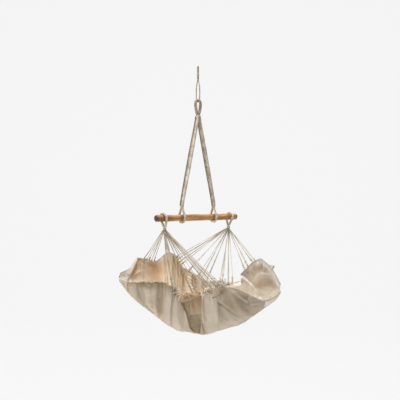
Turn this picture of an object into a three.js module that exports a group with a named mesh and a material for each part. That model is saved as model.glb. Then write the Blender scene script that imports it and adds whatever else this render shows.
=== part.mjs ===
// A hanging baby cradle: a canvas sling whose two gathered edges hang by fans of thin cords
// from the ends of a wooden spreader bar, which hangs by a doubled rope from one loop of cord.
// Millimetres, +Z up. The origin is the top of the hanging cord, where a hook holds the cradle.
// X runs along the spreader bar, and Y along the sling, with the head end at +Y.
import * as THREE from "three";

// Driving dimensions
const clearance = 0.3;
const cordDiameter = 6;
const topLoopLength = 38;
const knotLength = 33;
const longLoopLength = 115;
const longLoopWidth = 21;
const ropeDiameter = 13;
const eyeLength = 76;
const eyeWidth = 40;
const seizingHeight = 14;
const legDrop = 446;
const legSpread = 220;
const legPairGap = 2;
const barDiameter = 34;
const barLength = 560;
const barEndRounding = 9;
const slingDiameter = 12;
const slingDrop = 49;
const barOverhang = 58;
const cradleLoopLean = 12;
const gatherDrop = 45;
const gatherKnotDiameter = 19;
const gatherKnotLength = 15;
const fanCordDiameter = 3.2;
const fanCordPitch = 3.9;
const clothLength = 900;
const clothWidth = 372;
const clothDepth = 592;
const clothThickness = 3;
const hemHeight = 9;
const hemThickness = 7;
const foldDepth = 62;

// Facets
const ropeSides = 10;
const cordSides = 8;
const lathePoints = 24;
const loopSteps = 40;
const topLoopSteps = 24;
const legSteps = 14;
const fanCordSteps = 2;
const clothColumns = 40;
const wallRows = 7;

// Heights, from the hook down
const topLoopEnd = -topLoopLength;
const knotEnd = topLoopEnd - knotLength;
const bightBottom = knotEnd - longLoopLength;
const eyeTop = bightBottom + cordDiameter / 2 + clearance + ropeDiameter / 2;
const eyeEnd = eyeTop - eyeLength;
const eyeSeizingEnd = eyeEnd - seizingHeight;
const legEnd = eyeSeizingEnd - legDrop;
const legSeizingEnd = legEnd - seizingHeight;
const barHeight = legSeizingEnd - slingDrop;
const gatherTop = barHeight - gatherDrop;
const gatherHeight = gatherTop - gatherKnotDiameter / 2;

// Materials
const finish = (color, roughness) => new THREE.MeshStandardMaterial({ color, roughness, metalness: 0 });
const cordFinish = finish("#c9bda4", 0.9);
const ropeFinish = finish("#b8a892", 0.92);
const slingFinish = finish("#cdbfa6", 0.92);
const fanFinish = finish("#cfc4ae", 0.9);
const woodFinish = finish("#b98a57", 0.6);
const canvasFinish = finish("#b9a88e", 0.95);
const hemFinish = finish("#a5947b", 0.95);

const cradle = new THREE.Group();
const point = (x, y, z) => new THREE.Vector3(x, y, z);

function add(name, geometry, material) {
  const mesh = new THREE.Mesh(geometry, material);
  mesh.name = name;
  cradle.add(mesh);
  return mesh;
}

// Tubes: a regular polygon swept along a smooth curve through the given points
function tube(points, diameter, sides, steps) {
  const section = new THREE.Shape();
  for (let i = 0; i < sides; i++) {
    const turn = (2 * Math.PI * i) / sides;
    const place = [(Math.cos(turn) * diameter) / 2, (Math.sin(turn) * diameter) / 2];
    if (i === 0) section.moveTo(...place);
    else section.lineTo(...place);
  }
  const extrudePath =
    points.length === 2
      ? new THREE.LineCurve3(points[0], points[1])
      : new THREE.CatmullRomCurve3(points, false, "centripetal");
  return new THREE.ExtrudeGeometry(section, { steps, extrudePath, bevelEnabled: false });
}

// Seizings: an upright turned piece with a swollen middle, as wide along X and as deep along Y as given
function seizing(width, depth, height) {
  const bulgeShares = [
    [0, 0],
    [0.84, 0],
    [0.97, 0.18],
    [1, 0.5],
    [0.97, 0.82],
    [0.84, 1],
    [0, 1],
  ];
  const profile = bulgeShares.map(([out, up]) => new THREE.Vector2((out * width) / 2, up * height));
  const geometry = new THREE.LatheGeometry(profile, lathePoints);
  geometry.rotateX(Math.PI / 2);
  geometry.scale(1, depth / width, 1);
  return geometry;
}

// Hanging cord: a small loop over the hook, a twisted knot, and a long loop through the rope's eye
const strandReach = (cordDiameter + clearance) / 2;
const topLoopCrown = -cordDiameter / 2;
add(
  "top_loop",
  tube(
    [
      point(-strandReach, 0, topLoopEnd + clearance),
      point(-strandReach, 0, topLoopEnd / 2),
      point(-strandReach, 0, topLoopCrown - strandReach),
      point(0, 0, topLoopCrown),
      point(strandReach, 0, topLoopCrown - strandReach),
      point(strandReach, 0, topLoopEnd / 2),
      point(strandReach, 0, topLoopEnd + clearance),
    ],
    cordDiameter,
    cordSides,
    topLoopSteps,
  ),
  cordFinish,
);

// The knot tapers to a round foot, so the long loop can swing under it
const knotRadius = cordDiameter + clearance / 2;
const knotBodyShares = [
  [0.92, 0.3],
  [1, 0.5],
  [0.94, 0.72],
  [1, 0.88],
  [0.86, 1],
  [0, 1],
];
const knotFootPoints = 4;
const knotProfile = [];
for (let i = 0; i <= knotFootPoints; i++) {
  const turn = ((Math.PI / 2) * i) / knotFootPoints;
  knotProfile.push(new THREE.Vector2(Math.sin(turn) * knotRadius, (1 - Math.cos(turn)) * knotRadius));
}
knotProfile.push(...knotBodyShares.map(([out, up]) => new THREE.Vector2(out * knotRadius, up * knotLength)));
const knotGeometry = new THREE.LatheGeometry(knotProfile, lathePoints);
knotGeometry.rotateX(Math.PI / 2);
add("cord_knot", knotGeometry, cordFinish).position.z = knotEnd;

const longLoopReach = longLoopWidth / 2;
const bightCentre = bightBottom + longLoopReach;
const longLoopStart = knotEnd - clearance;
const bightPoints = [];
const bightArcPoints = 8;
for (let i = 0; i <= bightArcPoints; i++) {
  const turn = (Math.PI * i) / bightArcPoints;
  bightPoints.push(
    point(0, Math.cos(turn) * longLoopReach, bightCentre - Math.sin(turn) * longLoopReach),
  );
}
const longLoopShoulder = knotEnd - longLoopLength / 3;
add(
  "long_loop",
  tube(
    [
      point(0, strandReach, longLoopStart),
      point(0, strandReach, longLoopStart - cordDiameter),
      point(0, longLoopReach, longLoopShoulder),
      ...bightPoints,
      point(0, -longLoopReach, longLoopShoulder),
      point(0, -strandReach, longLoopStart - cordDiameter),
      point(0, -strandReach, longLoopStart),
    ],
    cordDiameter,
    cordSides,
    loopSteps,
  ),
  cordFinish,
);

// Rope eye: a teardrop of thick rope in the plane of the bar, closed by a seizing
const eyeReach = eyeWidth / 2;
const ropePitch = ropeDiameter + clearance;
const leadIn = ropeDiameter / 2;
const eyeSideShares = [
  [0.68, 0.74],
  [0.95, 0.5],
  [0.98, 0.27],
  [0.62, 0.06],
];
const eyeSide = eyeSideShares.map(([out, down]) => point(out * eyeReach, 0, eyeTop - down * eyeLength));
const mirrored = (p) => point(-p.x, p.y, p.z);
add(
  "rope_eye",
  tube(
    [
      point(-ropePitch / 2, 0, eyeEnd + clearance),
      point(-ropePitch / 2, 0, eyeEnd + leadIn),
      ...eyeSide.map(mirrored),
      point(0, 0, eyeTop),
      ...[...eyeSide].reverse(),
      point(ropePitch / 2, 0, eyeEnd + leadIn),
      point(ropePitch / 2, 0, eyeEnd + clearance),
    ],
    ropeDiameter,
    ropeSides,
    loopSteps,
  ),
  ropeFinish,
);
const eyeSeizing = add("eye_seizing", seizing(2 * ropePitch, 2 * ropePitch, seizingHeight), ropeFinish);
eyeSeizing.position.z = eyeSeizingEnd;

// Legs: a pair of ropes down to each sling, which goes round the bar
const legStart = eyeSeizingEnd - clearance;
const legPairReach = (ropeDiameter + legPairGap) / 2;
const legTurnShare = 0.4;
const loopRadius = barDiameter / 2 + clearance + slingDiameter / 2;
const slingReach = (slingDiameter + clearance) / 2;

// A rope that leaves two points side by side, wraps the bar and comes back
function loopRoundBar(endHeight, endX, wrapX) {
  const rise = endHeight - barHeight;
  const side = Math.sign(rise);
  const far = Math.hypot(slingReach, rise);
  const touch = Math.atan2(Math.abs(rise), slingReach) - Math.acos(loopRadius / far);
  const sweep = Math.PI + 2 * touch;
  const wrapPoints = 10;
  const leadHeight = endHeight - (side * slingDiameter) / 4;
  const route = [point(endX, slingReach, endHeight), point(endX, slingReach, leadHeight)];
  for (let i = 0; i <= wrapPoints; i++) {
    const turn = touch - (sweep * i) / wrapPoints;
    const height = side * Math.sin(turn) * loopRadius;
    const along = endX + ((wrapX - endX) * (rise - height)) / (rise + side * loopRadius);
    route.push(point(along, Math.cos(turn) * loopRadius, barHeight + height));
  }
  route.push(point(endX, -slingReach, leadHeight), point(endX, -slingReach, endHeight));
  return tube(route, slingDiameter, ropeSides, loopSteps);
}

for (const [side, sign] of [
  ["left", -1],
  ["right", 1],
]) {
  const legX = (sign * legSpread) / 2;
  for (const [strand, face] of [
    ["front", -1],
    ["back", 1],
  ]) {
    const top = point((sign * ropePitch) / 2, (face * ropePitch) / 2, legStart);
    const foot = point(legX, (face * ropePitch) / 2, legEnd + clearance);
    const middle = top.clone().lerp(foot, 1 / 2);
    middle.x -= face * legPairReach * legTurnShare;
    middle.y = face * legPairReach;
    const leadTop = top.clone().setZ(legStart - leadIn / 2);
    const leadFoot = foot.clone().setZ(legEnd + leadIn / 2);
    const route = [top, leadTop, middle, leadFoot, foot];
    add(side + "_leg_" + strand + "_rope", tube(route, ropeDiameter, ropeSides, legSteps), ropeFinish);
  }
  const legSeizing = add(
    side + "_leg_seizing",
    seizing(ropeDiameter + 2 * clearance, 2 * ropePitch, seizingHeight),
    ropeFinish,
  );
  legSeizing.position.set(legX, 0, legSeizingEnd);
  add(side + "_bar_sling", loopRoundBar(legSeizingEnd - clearance, legX, legX), slingFinish);
}

// Spreader bar: a turned pole, a little thinner in the middle, with rounded ends
const barRadius = barDiameter / 2;
const barWaistShare = 0.985;
const barProfile = [new THREE.Vector2(0, 0)];
const barEndArcPoints = 4;
for (let i = 0; i <= barEndArcPoints; i++) {
  const turn = (Math.PI / 2) * (i / barEndArcPoints);
  barProfile.push(
    new THREE.Vector2(
      barRadius - barEndRounding + Math.sin(turn) * barEndRounding,
      barEndRounding - Math.cos(turn) * barEndRounding,
    ),
  );
}
const barFacets = 36;
const halfProfile = [...barProfile, new THREE.Vector2(barRadius * barWaistShare, barLength / 2)];
const otherHalf = barProfile.map((p) => new THREE.Vector2(p.x, barLength - p.y)).reverse();
const barGeometry = new THREE.LatheGeometry([...halfProfile, ...otherHalf], barFacets);
barGeometry.translate(0, -barLength / 2, 0);
barGeometry.rotateZ(-Math.PI / 2);
add("spreader_bar", barGeometry, woodFinish).position.z = barHeight;

// Sling cloth: places are shares of half its width, half its length and its depth under the bar
const nearRimShares = [
  [-0.968, 0.964, 0.564],
  [-1, 0.878, 0.574],
  [-0.99, 0.756, 0.588],
  [-0.94, 0.6, 0.579],
  [-0.86, 0.422, 0.569],
  [-0.753, 0.244, 0.562],
  [-0.656, 0.111, 0.605],
  [-0.635, 0.065, 0.665],
  [-0.613, -0.01, 0.7],
  [-0.602, -0.133, 0.668],
  [-0.602, -0.267, 0.636],
  [-0.602, -0.389, 0.611],
  [-0.602, -0.511, 0.588],
  [-0.602, -0.622, 0.535],
  [-0.43, -0.733, 0.548],
  [-0.108, -0.844, 0.606],
  [0.215, -0.911, 0.649],
  [0.591, -0.933, 0.627],
  [0.9, -0.9, 0.594],
];
const farRimShares = [
  [-0.93, 0.985, 0.548],
  [-0.86, 0.998, 0.522],
  [-0.645, 1.004, 0.505],
  [-0.484, 0.996, 0.476],
  [-0.323, 0.978, 0.405],
  [-0.27, 0.968, 0.393],
  [-0.142, 0.94, 0.402],
  [0, 0.911, 0.415],
  [0.161, 0.862, 0.43],
  [0.323, 0.8, 0.392],
  [0.42, 0.755, 0.351],
  [0.545, 0.685, 0.369],
  [0.59, 0.655, 0.385],
  [0.62, 0.62, 0.43],
  [0.656, 0.533, 0.49],
  [0.677, 0.422, 0.522],
  [0.667, 0.267, 0.559],
  [0.634, 0.133, 0.586],
  [0.602, 0, 0.573],
  [0.602, -0.133, 0.579],
  [0.602, -0.267, 0.574],
  [0.613, -0.4, 0.546],
  [0.61, -0.465, 0.535],
  [0.549, -0.458, 0.479],
  [0.585, -0.49, 0.448],
  [0.602, -0.533, 0.42],
  [0.613, -0.6, 0.377],
  [0.634, -0.667, 0.348],
  [0.66, -0.7, 0.339],
  [0.699, -0.733, 0.355],
  [0.806, -0.811, 0.42],
  [0.925, -0.885, 0.545],
];
const keelShares = [
  [-0.935, 0.95, 0.6],
  [-0.833, 0.878, 0.672],
  [-0.699, 0.778, 0.758],
  [-0.565, 0.667, 0.819],
  [-0.43, 0.533, 0.883],
  [-0.312, 0.4, 0.953],
  [-0.204, 0.267, 0.99],
  [-0.097, 0.133, 0.995],
  [0, 0, 1],
  [0.097, -0.133, 0.99],
  [0.204, -0.256, 0.951],
  [0.312, -0.378, 0.921],
  [0.441, -0.5, 0.882],
  [0.565, -0.622, 0.804],
  [0.699, -0.733, 0.721],
  [0.817, -0.822, 0.667],
  [0.9, -0.885, 0.612],
];
const clothCurve = (shares) =>
  new THREE.CatmullRomCurve3(
    shares.map(([x, y, down]) =>
      point((x * clothWidth) / 2, (y * clothLength) / 2, barHeight - down * clothDepth),
    ),
    false,
    "centripetal",
  );
const nearRim = clothCurve(nearRimShares);
const farRim = clothCurve(farRimShares);
const keel = clothCurve(keelShares);

// Folds of each wall: place at the rim and at the keel along the cloth, half width, depth, and
// how much steeper the side towards the foot is
const nearFoldShares = [
  [0.22, 0.215, 0.04, 0.3, 1],
  [0.285, 0.29, 0.035, -0.3, 1],
  [0.33, 0.34, 0.03, 0.28, 1],
  [0.405, 0.415, 0.035, 0.25, 1],
  [0.525, 0.515, 0.065, -1, 2.5],
  [0.565, 0.555, 0.025, 0.3, 1],
  [0.64, 0.76, 0.03, -0.2, 1],
  [0.725, 0.88, 0.035, 0.22, 1],
];
const farFoldShares = [
  [0.22, 0.2, 0.04, 0.35, 1],
  [0.36, 0.33, 0.035, -0.3, 1],
  [0.46, 0.45, 0.035, 0.4, 1],
  [0.55, 0.56, 0.035, -0.35, 1],
  [0.66, 0.68, 0.03, 0.3, 1],
  [0.78, 0.8, 0.035, -0.25, 1],
];

// How far the folds push a wall out: nothing at the keel, and little at the rim
const foldHeadShare = 0.88;
const foldFadePower = 0.7;

function foldOut(folds, along, up) {
  let out = 0;
  for (const [atRim, atKeel, half, depth, steep] of folds) {
    const away = (along - (atKeel + (atRim - atKeel) * up)) / half;
    const reach = away > 0 ? away * steep : away;
    if (Math.abs(reach) < 1) out += depth * foldDepth * Math.cos((reach * Math.PI) / 2) ** 2;
  }
  return out * Math.sin(Math.PI * foldHeadShare * up) ** foldFadePower;
}

// A point of the cloth's outer face: across runs from 0 at the near rim to 1 at the far rim
function clothPoint(along, across) {
  const low = keel.getPointAt(along);
  const near = nearRim.getPointAt(along);
  const far = farRim.getPointAt(along);
  const isNear = across < 1 / 2;
  const rim = isNear ? near : far;
  const up = Math.abs(2 * across - 1);
  const outShare = Math.sin((up * Math.PI) / 2);
  const upShare = 1 - Math.cos((up * Math.PI) / 2);
  const place = point(
    low.x + (rim.x - low.x) * outShare,
    low.y + (rim.y - low.y) * outShare,
    low.z + (rim.z - low.z) * upShare,
  );
  const span = point(near.x - far.x, near.y - far.y, 0);
  const fade = Math.min(1, span.length() / (clothWidth / 2));
  const outward = span.normalize().multiplyScalar(isNear ? 1 : -1);
  const out = foldOut(isNear ? nearFoldShares : farFoldShares, along, up) * fade;
  return place.addScaledVector(outward, out);
}

const clothRows = 2 * wallRows;
const outer = [];
for (let i = 0; i <= clothColumns; i++) {
  outer.push([]);
  for (let j = 0; j <= clothRows; j++) outer[i].push(clothPoint(i / clothColumns, j / clothRows));
}

// The unit direction out of the cloth at a grid place
function clothNormal(i, j) {
  const after = outer[Math.min(i + 1, clothColumns)][j];
  const before = outer[Math.max(i - 1, 0)][j];
  const above = outer[i][Math.min(j + 1, clothRows)];
  const below = outer[i][Math.max(j - 1, 0)];
  return after.clone().sub(before).cross(above.clone().sub(below)).normalize();
}
const towardsKeel = clothNormal(clothColumns / 2, wallRows).z > 0 ? -1 : 1;
const inner = outer.map((column, i) =>
  column.map((place, j) => place.clone().addScaledVector(clothNormal(i, j), -towardsKeel * clothThickness)),
);

// A closed geometry from triangles given as corner points
function closedGeometry(corners) {
  const geometry = new THREE.BufferGeometry();
  const numbers = corners.flatMap((p) => [p.x, p.y, p.z]);
  geometry.setAttribute("position", new THREE.Float32BufferAttribute(numbers, 3));
  geometry.computeVertexNormals();
  return geometry;
}

// Two triangles of a quad, seen anticlockwise from outside
const quad = (a, b, c, d) => [a, b, c, a, c, d];

function clothGeometry() {
  const faces = [];
  const put = (a, b, c, d) => faces.push(...(towardsKeel > 0 ? quad(a, b, c, d) : quad(d, c, b, a)));
  for (let i = 0; i < clothColumns; i++) {
    for (let j = 0; j < clothRows; j++) {
      put(outer[i][j], outer[i + 1][j], outer[i + 1][j + 1], outer[i][j + 1]);
      put(inner[i][j + 1], inner[i + 1][j + 1], inner[i + 1][j], inner[i][j]);
    }
    put(inner[i][0], inner[i + 1][0], outer[i + 1][0], outer[i][0]);
    put(outer[i][clothRows], outer[i + 1][clothRows], inner[i + 1][clothRows], inner[i][clothRows]);
  }
  for (let j = 0; j < clothRows; j++) {
    put(outer[0][j], outer[0][j + 1], inner[0][j + 1], inner[0][j]);
    const last = clothColumns;
    put(inner[last][j], inner[last][j + 1], outer[last][j + 1], outer[last][j]);
  }
  return closedGeometry(faces);
}
add("cradle_cloth", clothGeometry(), canvasFinish);

// Hems: an eight-sided band on the cloth's rim, one length for each side of the sling
const hemSectionShares = [
  [0.25, 0],
  [0.5, 0.25],
  [0.5, 0.75],
  [0.25, 1],
  [-0.25, 1],
  [-0.5, 0.75],
  [-0.5, 0.25],
  [-0.25, 0],
];

function rimFrame(i, j) {
  const inside = j === 0 ? 1 : clothRows - 1;
  const middle = outer[i][j].clone().lerp(inner[i][j], 0.5);
  const below = outer[i][inside].clone().lerp(inner[i][inside], 0.5);
  const up = middle.clone().sub(below).normalize();
  const out = outer[i][j].clone().sub(inner[i][j]).normalize();
  return { middle, up, out };
}

function hemGeometry(j, first, last) {
  const rings = [];
  for (let i = first; i <= last; i++) {
    const { middle, up, out } = rimFrame(i, j);
    rings.push(
      hemSectionShares.map(([side, rise]) =>
        middle
          .clone()
          .addScaledVector(out, side * hemThickness)
          .addScaledVector(up, clearance + rise * hemHeight),
      ),
    );
  }
  const sides = hemSectionShares.length;
  const faces = [];
  const turned = j === 0 ? towardsKeel > 0 : towardsKeel < 0;
  const put = (a, b, c, d) => faces.push(...(turned ? quad(a, b, c, d) : quad(d, c, b, a)));
  for (let i = 0; i + 1 < rings.length; i++) {
    for (let k = 0; k < sides; k++) {
      const next = (k + 1) % sides;
      put(rings[i][k], rings[i][next], rings[i + 1][next], rings[i + 1][k]);
    }
  }
  for (const [ring, isFirst] of [
    [rings[0], true],
    [rings[rings.length - 1], false],
  ]) {
    for (let k = 1; k + 1 < sides; k++) {
      const fan = [ring[0], ring[k], ring[k + 1]];
      if (turned === isFirst) fan.reverse();
      faces.push(...fan);
    }
  }
  return closedGeometry(faces);
}
const headCornerShare = 0.35;
const footCornerShare = 0.75;
const headCorner = Math.round(headCornerShare * clothColumns);
const footCorner = Math.round(footCornerShare * clothColumns);
add("left_edge_hem", hemGeometry(0, 0, footCorner), hemFinish);
add("foot_hem", hemGeometry(0, footCorner + 1, clothColumns), hemFinish);
add("head_hem", hemGeometry(clothRows, 0, headCorner - 1), hemFinish);
add("right_edge_hem", hemGeometry(clothRows, headCorner, clothColumns), hemFinish);

// The middle of the hem at a place along the rim, and the way that it runs there
const hemCentre = (along, j) => {
  const spot = along * clothColumns;
  const i = Math.min(Math.floor(spot), clothColumns - 1);
  const here = rimFrame(i, j);
  const next = rimFrame(i + 1, j);
  const share = spot - i;
  const lift = clearance + hemHeight / 2;
  const start = here.middle.clone().addScaledVector(here.up, lift);
  const end = next.middle.clone().addScaledVector(next.up, lift);
  return { place: start.clone().lerp(end, share), run: end.clone().sub(start).normalize() };
};

// Fan cords: the part of the rim that each one reaches, and its place along that rim
const leftCordShares = [
  ["head", 0.155],
  ["head", 0.166],
  ["head", 0.177],
  ["head", 0.188],
  ["head", 0.2],
  ["edge", 0.318],
  ["edge", 0.344],
  ["edge", 0.37],
  ["edge", 0.4],
  ["edge", 0.437],
  ["edge", 0.5],
  ["edge", 0.548],
  ["edge", 0.596],
  ["edge", 0.63],
  ["edge", 0.645],
  ["edge", 0.66],
  ["edge", 0.675],
  ["edge", 0.688],
];
const rightCordShares = [
  ["edge", 0.313],
  ["edge", 0.327],
  ["edge", 0.341],
  ["edge", 0.355],
  ["edge", 0.405],
  ["edge", 0.467],
  ["edge", 0.488],
  ["edge", 0.527],
  ["edge", 0.61],
  ["edge", 0.622],
  ["edge", 0.656],
  ["edge", 0.68],
  ["edge", 0.79],
  ["edge", 0.81],
  ["edge", 0.838],
  ["edge", 0.852],
];
// Under its knot a fan starts in columns of cords, turned from the head end down to the foot
const cordsPerColumn = 3;
const fanStartTurn = THREE.MathUtils.degToRad(60);
const fanTurn = THREE.MathUtils.degToRad(22);

// One end's loop round the bar, its gather knot and its fan
const cradleLoopX = barLength / 2 - barOverhang;

function fan(side, sign, cords) {
  const x = sign * cradleLoopX;
  add(
    side + "_cradle_loop",
    loopRoundBar(gatherTop + clearance, x, sign * (cradleLoopX + cradleLoopLean)),
    slingFinish,
  );
  const gatherKnot = seizing(gatherKnotDiameter, gatherKnotDiameter, gatherKnotLength);
  gatherKnot.rotateY(Math.PI / 2);
  const gatherKnotMesh = add(side + "_gather_knot", gatherKnot, slingFinish);
  gatherKnotMesh.position.set(x - gatherKnotLength / 2, 0, gatherHeight);
  cords.forEach(([rimPart, along], index) => {
    const column = Math.floor(index / cordsPerColumn);
    const row = (index % cordsPerColumn) - 1;
    const turn = fanStartTurn - fanTurn * column;
    const rimRow = side === "left" && rimPart === "edge" ? 0 : clothRows;
    const { place, run } = hemCentre(along, rimRow);
    const knotFace = point(0, Math.sin(turn), -Math.cos(turn));
    const knotSpot = point(x + row * fanCordPitch, 0, gatherHeight);
    const heading = place.clone().sub(knotSpot).normalize();
    const tilt = Math.sqrt(1 - Math.min(1, heading.dot(knotFace)) ** 2);
    const startRadius = gatherKnotDiameter / 2 + clearance + (tilt * fanCordDiameter) / 2;
    const start = knotSpot.addScaledVector(knotFace, startRadius);
    const direction = start.clone().sub(place).normalize();
    const lean = Math.abs(direction.dot(run));
    const square = Math.sqrt(1 - lean * lean);
    const hold = (hemHeight / 2 + 3 * clearance) / square + ((fanCordDiameter / 2) * lean) / square;
    const end = place.clone().addScaledVector(direction, hold);
    const name = side + "_fan_cord_" + String(index + 1).padStart(2, "0");
    add(name, tube([start, end], fanCordDiameter, cordSides, fanCordSteps), fanFinish);
  });
}
fan("left", -1, leftCordShares);
fan("right", 1, rightCordShares);

export default cradle;
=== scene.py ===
import math

import bpy
import numpy as np
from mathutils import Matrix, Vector


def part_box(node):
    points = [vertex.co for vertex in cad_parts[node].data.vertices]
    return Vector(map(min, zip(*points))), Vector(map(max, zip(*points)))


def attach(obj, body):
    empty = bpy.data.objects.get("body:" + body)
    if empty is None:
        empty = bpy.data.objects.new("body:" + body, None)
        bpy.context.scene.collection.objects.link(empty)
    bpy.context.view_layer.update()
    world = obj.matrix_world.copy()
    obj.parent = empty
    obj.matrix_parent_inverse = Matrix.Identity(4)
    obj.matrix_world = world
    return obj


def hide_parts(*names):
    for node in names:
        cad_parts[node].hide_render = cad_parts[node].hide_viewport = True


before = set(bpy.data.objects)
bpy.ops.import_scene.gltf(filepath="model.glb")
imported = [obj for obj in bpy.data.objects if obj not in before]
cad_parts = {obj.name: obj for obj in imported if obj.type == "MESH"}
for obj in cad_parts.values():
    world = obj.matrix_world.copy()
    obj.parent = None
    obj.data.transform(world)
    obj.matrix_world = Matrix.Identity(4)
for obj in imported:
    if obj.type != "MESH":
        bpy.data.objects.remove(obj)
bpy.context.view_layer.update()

bl_info = {
    "name": "Hanging baby cradle",
    "version": (1, 0, 0),
    "blender": (4, 5, 0),
    "location": "3D View > Sidebar > Cradle",
    "description": "Dresses a canvas sling cradle with its ropes, cords, bar and cloth",
    "category": "Object",
}


# Sizes taken from the frame, in metres
def box(node):
    low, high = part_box(node)
    return np.array(low), np.array(high)


def middle(node):
    low, high = box(node)
    return (low + high) / 2


CLEARANCE = 0.0003
CORD_RADIUS = 0.003
ROPE_RADIUS = 0.0065
LOOP_RADIUS = 0.006
FAN_RADIUS = 0.0016
BAR_RADIUS = (box("spreader_bar")[1][2] - box("spreader_bar")[0][2]) / 2
BAR_LENGTH = box("spreader_bar")[1][0] - box("spreader_bar")[0][0]
BAR_HEIGHT = middle("spreader_bar")[2]
BAR_END_ROUNDING = 0.009


# Curves and swept meshes
def smooth_curve(points, count):
    """Places spaced evenly along a centripetal curve through the points."""
    points = np.asarray(points, float)
    ends = np.vstack([2 * points[0] - points[1], points, 2 * points[-1] - points[-2]])
    shares = np.linspace(0, 1, 40, endpoint=False)[:, None]
    fine = []
    for a, b, c, d in zip(ends, ends[1:], ends[2:], ends[3:]):
        before, here, after = (np.linalg.norm(q - p) ** 0.5 for p, q in ((a, b), (b, c), (c, d)))
        start = ((b - a) / before - (c - a) / (before + here) + (c - b) / here) * here
        end = ((c - b) / here - (d - b) / (here + after) + (d - c) / after) * here
        cubic = 2 * b - 2 * c + start + end
        square = -3 * b + 3 * c - 2 * start - end
        fine.append(b + start * shares + square * shares**2 + cubic * shares**3)
    fine = np.vstack([*fine, points[-1:]])
    run = np.concatenate([[0], np.cumsum(np.linalg.norm(np.diff(fine, axis=0), axis=1))])
    wanted = np.linspace(0, run[-1], count)
    return np.column_stack([np.interp(wanted, run, fine[:, k]) for k in range(3)])


def unit(vectors):
    return vectors / np.maximum(np.linalg.norm(vectors, axis=-1, keepdims=True), 1e-12)


def side_directions(path):
    """Two directions square to the path at each place, turning as little as they can."""
    run = unit(np.gradient(path, axis=0))
    start = np.eye(3)[np.argmin(np.abs(run[0]))]
    side = start - run[0] * (start @ run[0])
    sides = []
    for heading in run:
        side = side - heading * (side @ heading)
        side = side / np.linalg.norm(side)
        sides.append(side)
    sides = np.array(sides)
    return sides, np.cross(run, sides)


def length_along(path):
    return np.concatenate([[0], np.cumsum(np.linalg.norm(np.diff(path, axis=0), axis=1))])


def circle(turn):
    """Places on a level circle of radius 1, one for each turn."""
    return np.column_stack([np.cos(turn), np.sin(turn), 0 * turn])


def rises(values, start, reach):
    """0 up to the start, and 1 from one reach beyond it."""
    return np.clip((values - start) / reach, 0, 1)


def falls(values, end, reach):
    """1 up to one reach before the end, and 0 beyond the end."""
    return np.clip((end - values) / reach, 0, 1)


def laid(strands, pitch, groove):
    """Surface relief of a rope twisted from a few strands."""

    def relief(around, along):
        phase = strands * (around - math.tau * along / pitch) / 2
        return 1 - groove * (1 - np.abs(np.cos(phase)) ** 0.6)

    return relief


def braided(plaits, pitch, groove):
    """Surface relief of a rope plaited from strands that cross each other."""

    def relief(around, along):
        turns = plaits * around / math.tau
        crossing = np.sin(math.pi * (turns + along / pitch)) * np.sin(math.pi * (turns - along / pitch))
        return 1 - groove * (1 - np.sqrt(np.abs(crossing)))

    return relief


def pleated(pleats, groove):
    """Surface relief of cloth gathered round a cord."""

    def relief(around, along):
        return 1 - groove * np.cos(pleats * around) + 0 * along

    return relief


# The lay of each kind of cord and the plait of each kind of rope
CORD_LAY = laid(strands=3, pitch=4 * CORD_RADIUS, groove=0.3)
CORD_KNOT_LAY = laid(strands=2, pitch=0.019, groove=0.42)
CORD_WRAP_LAY = laid(strands=3, pitch=0.006, groove=0.25)
GATHERING_LAY = laid(strands=3, pitch=0.009, groove=0.2)
FAN_LAY = laid(strands=3, pitch=0.0095, groove=0.3)
FAN_KNOT_LAY = laid(strands=3, pitch=0.006, groove=0.2)
DRAW_CORD_LAY = laid(strands=3, pitch=0.012, groove=0.25)
LEG_PLAIT = braided(plaits=8, pitch=0.0085, groove=0.05)
LOOP_PLAIT = braided(plaits=8, pitch=0.0085, groove=0.14)
CORE_PLAIT = braided(plaits=6, pitch=0.009, groove=0.12)
SLEEVE_PLEATS = pleated(pleats=5, groove=0.16)


def rings_round(path, first, second, sides, reach=1):
    """Places round each place of a path, in the plane of its two side directions."""
    around = np.arange(sides) * math.tau / sides
    out = np.cos(around)[:, None] * first[:, None, :] + np.sin(around)[:, None] * second[:, None, :]
    return (path[:, None, :] + reach * out).reshape(-1, 3)


def tube_faces(rings, sides):
    """Quads round each step of a tube, and a cap on either end."""
    index = np.arange(rings * sides).reshape(rings, sides)
    after = np.roll(index, -1, axis=1)
    quads = np.stack([index[:-1], after[:-1], after[1:], index[1:]], axis=-1).reshape(-1, 4)
    return [*quads.tolist(), index[0, ::-1].tolist(), index[-1].tolist()]


def tube(path, radius, sides, relief=None):
    """Corners and faces of a closed tube along a path, its radius one number or one for each place."""
    around = np.arange(sides) * math.tau / sides
    reach = np.broadcast_to(np.reshape(radius, (-1, 1)), (len(path), sides))
    if relief:
        reach = reach * relief(around[None, :], length_along(path)[:, None])
    return rings_round(path, *side_directions(path), sides, reach[..., None]), tube_faces(len(path), sides)


def strand_path(points, step):
    """A smooth route through the points with a place about every step."""
    rough = smooth_curve(points, 200)
    return smooth_curve(points, max(8, round(length_along(rough)[-1] / step)))


def joined(parts):
    """One mesh's corners and faces from several."""
    corners, faces, offset = [], [], 0
    for part_corners, part_faces in parts:
        corners.append(part_corners)
        faces.extend(tuple(index + offset for index in face) for face in part_faces)
        offset += len(part_corners)
    return np.vstack(corners), faces


def make_piece(name, corners, faces, materials, body, slot, nodes):
    """A smooth mesh piece that rides on a body and stands for CAD nodes."""
    mesh = bpy.data.meshes.new(name)
    mesh.from_pydata(np.asarray(corners).tolist(), [], faces)
    mesh.validate()
    mesh.shade_smooth()
    piece = bpy.data.objects.new(name, mesh)
    bpy.context.scene.collection.objects.link(piece)
    for material in materials:
        mesh.materials.append(material)
    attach(piece, body)
    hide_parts(*nodes)
    return piece


def set_attribute(piece, name, values):
    attribute = piece.data.attributes.new(name, "FLOAT", "POINT")
    attribute.data.foreach_set("value", np.asarray(values, np.float32))


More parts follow.
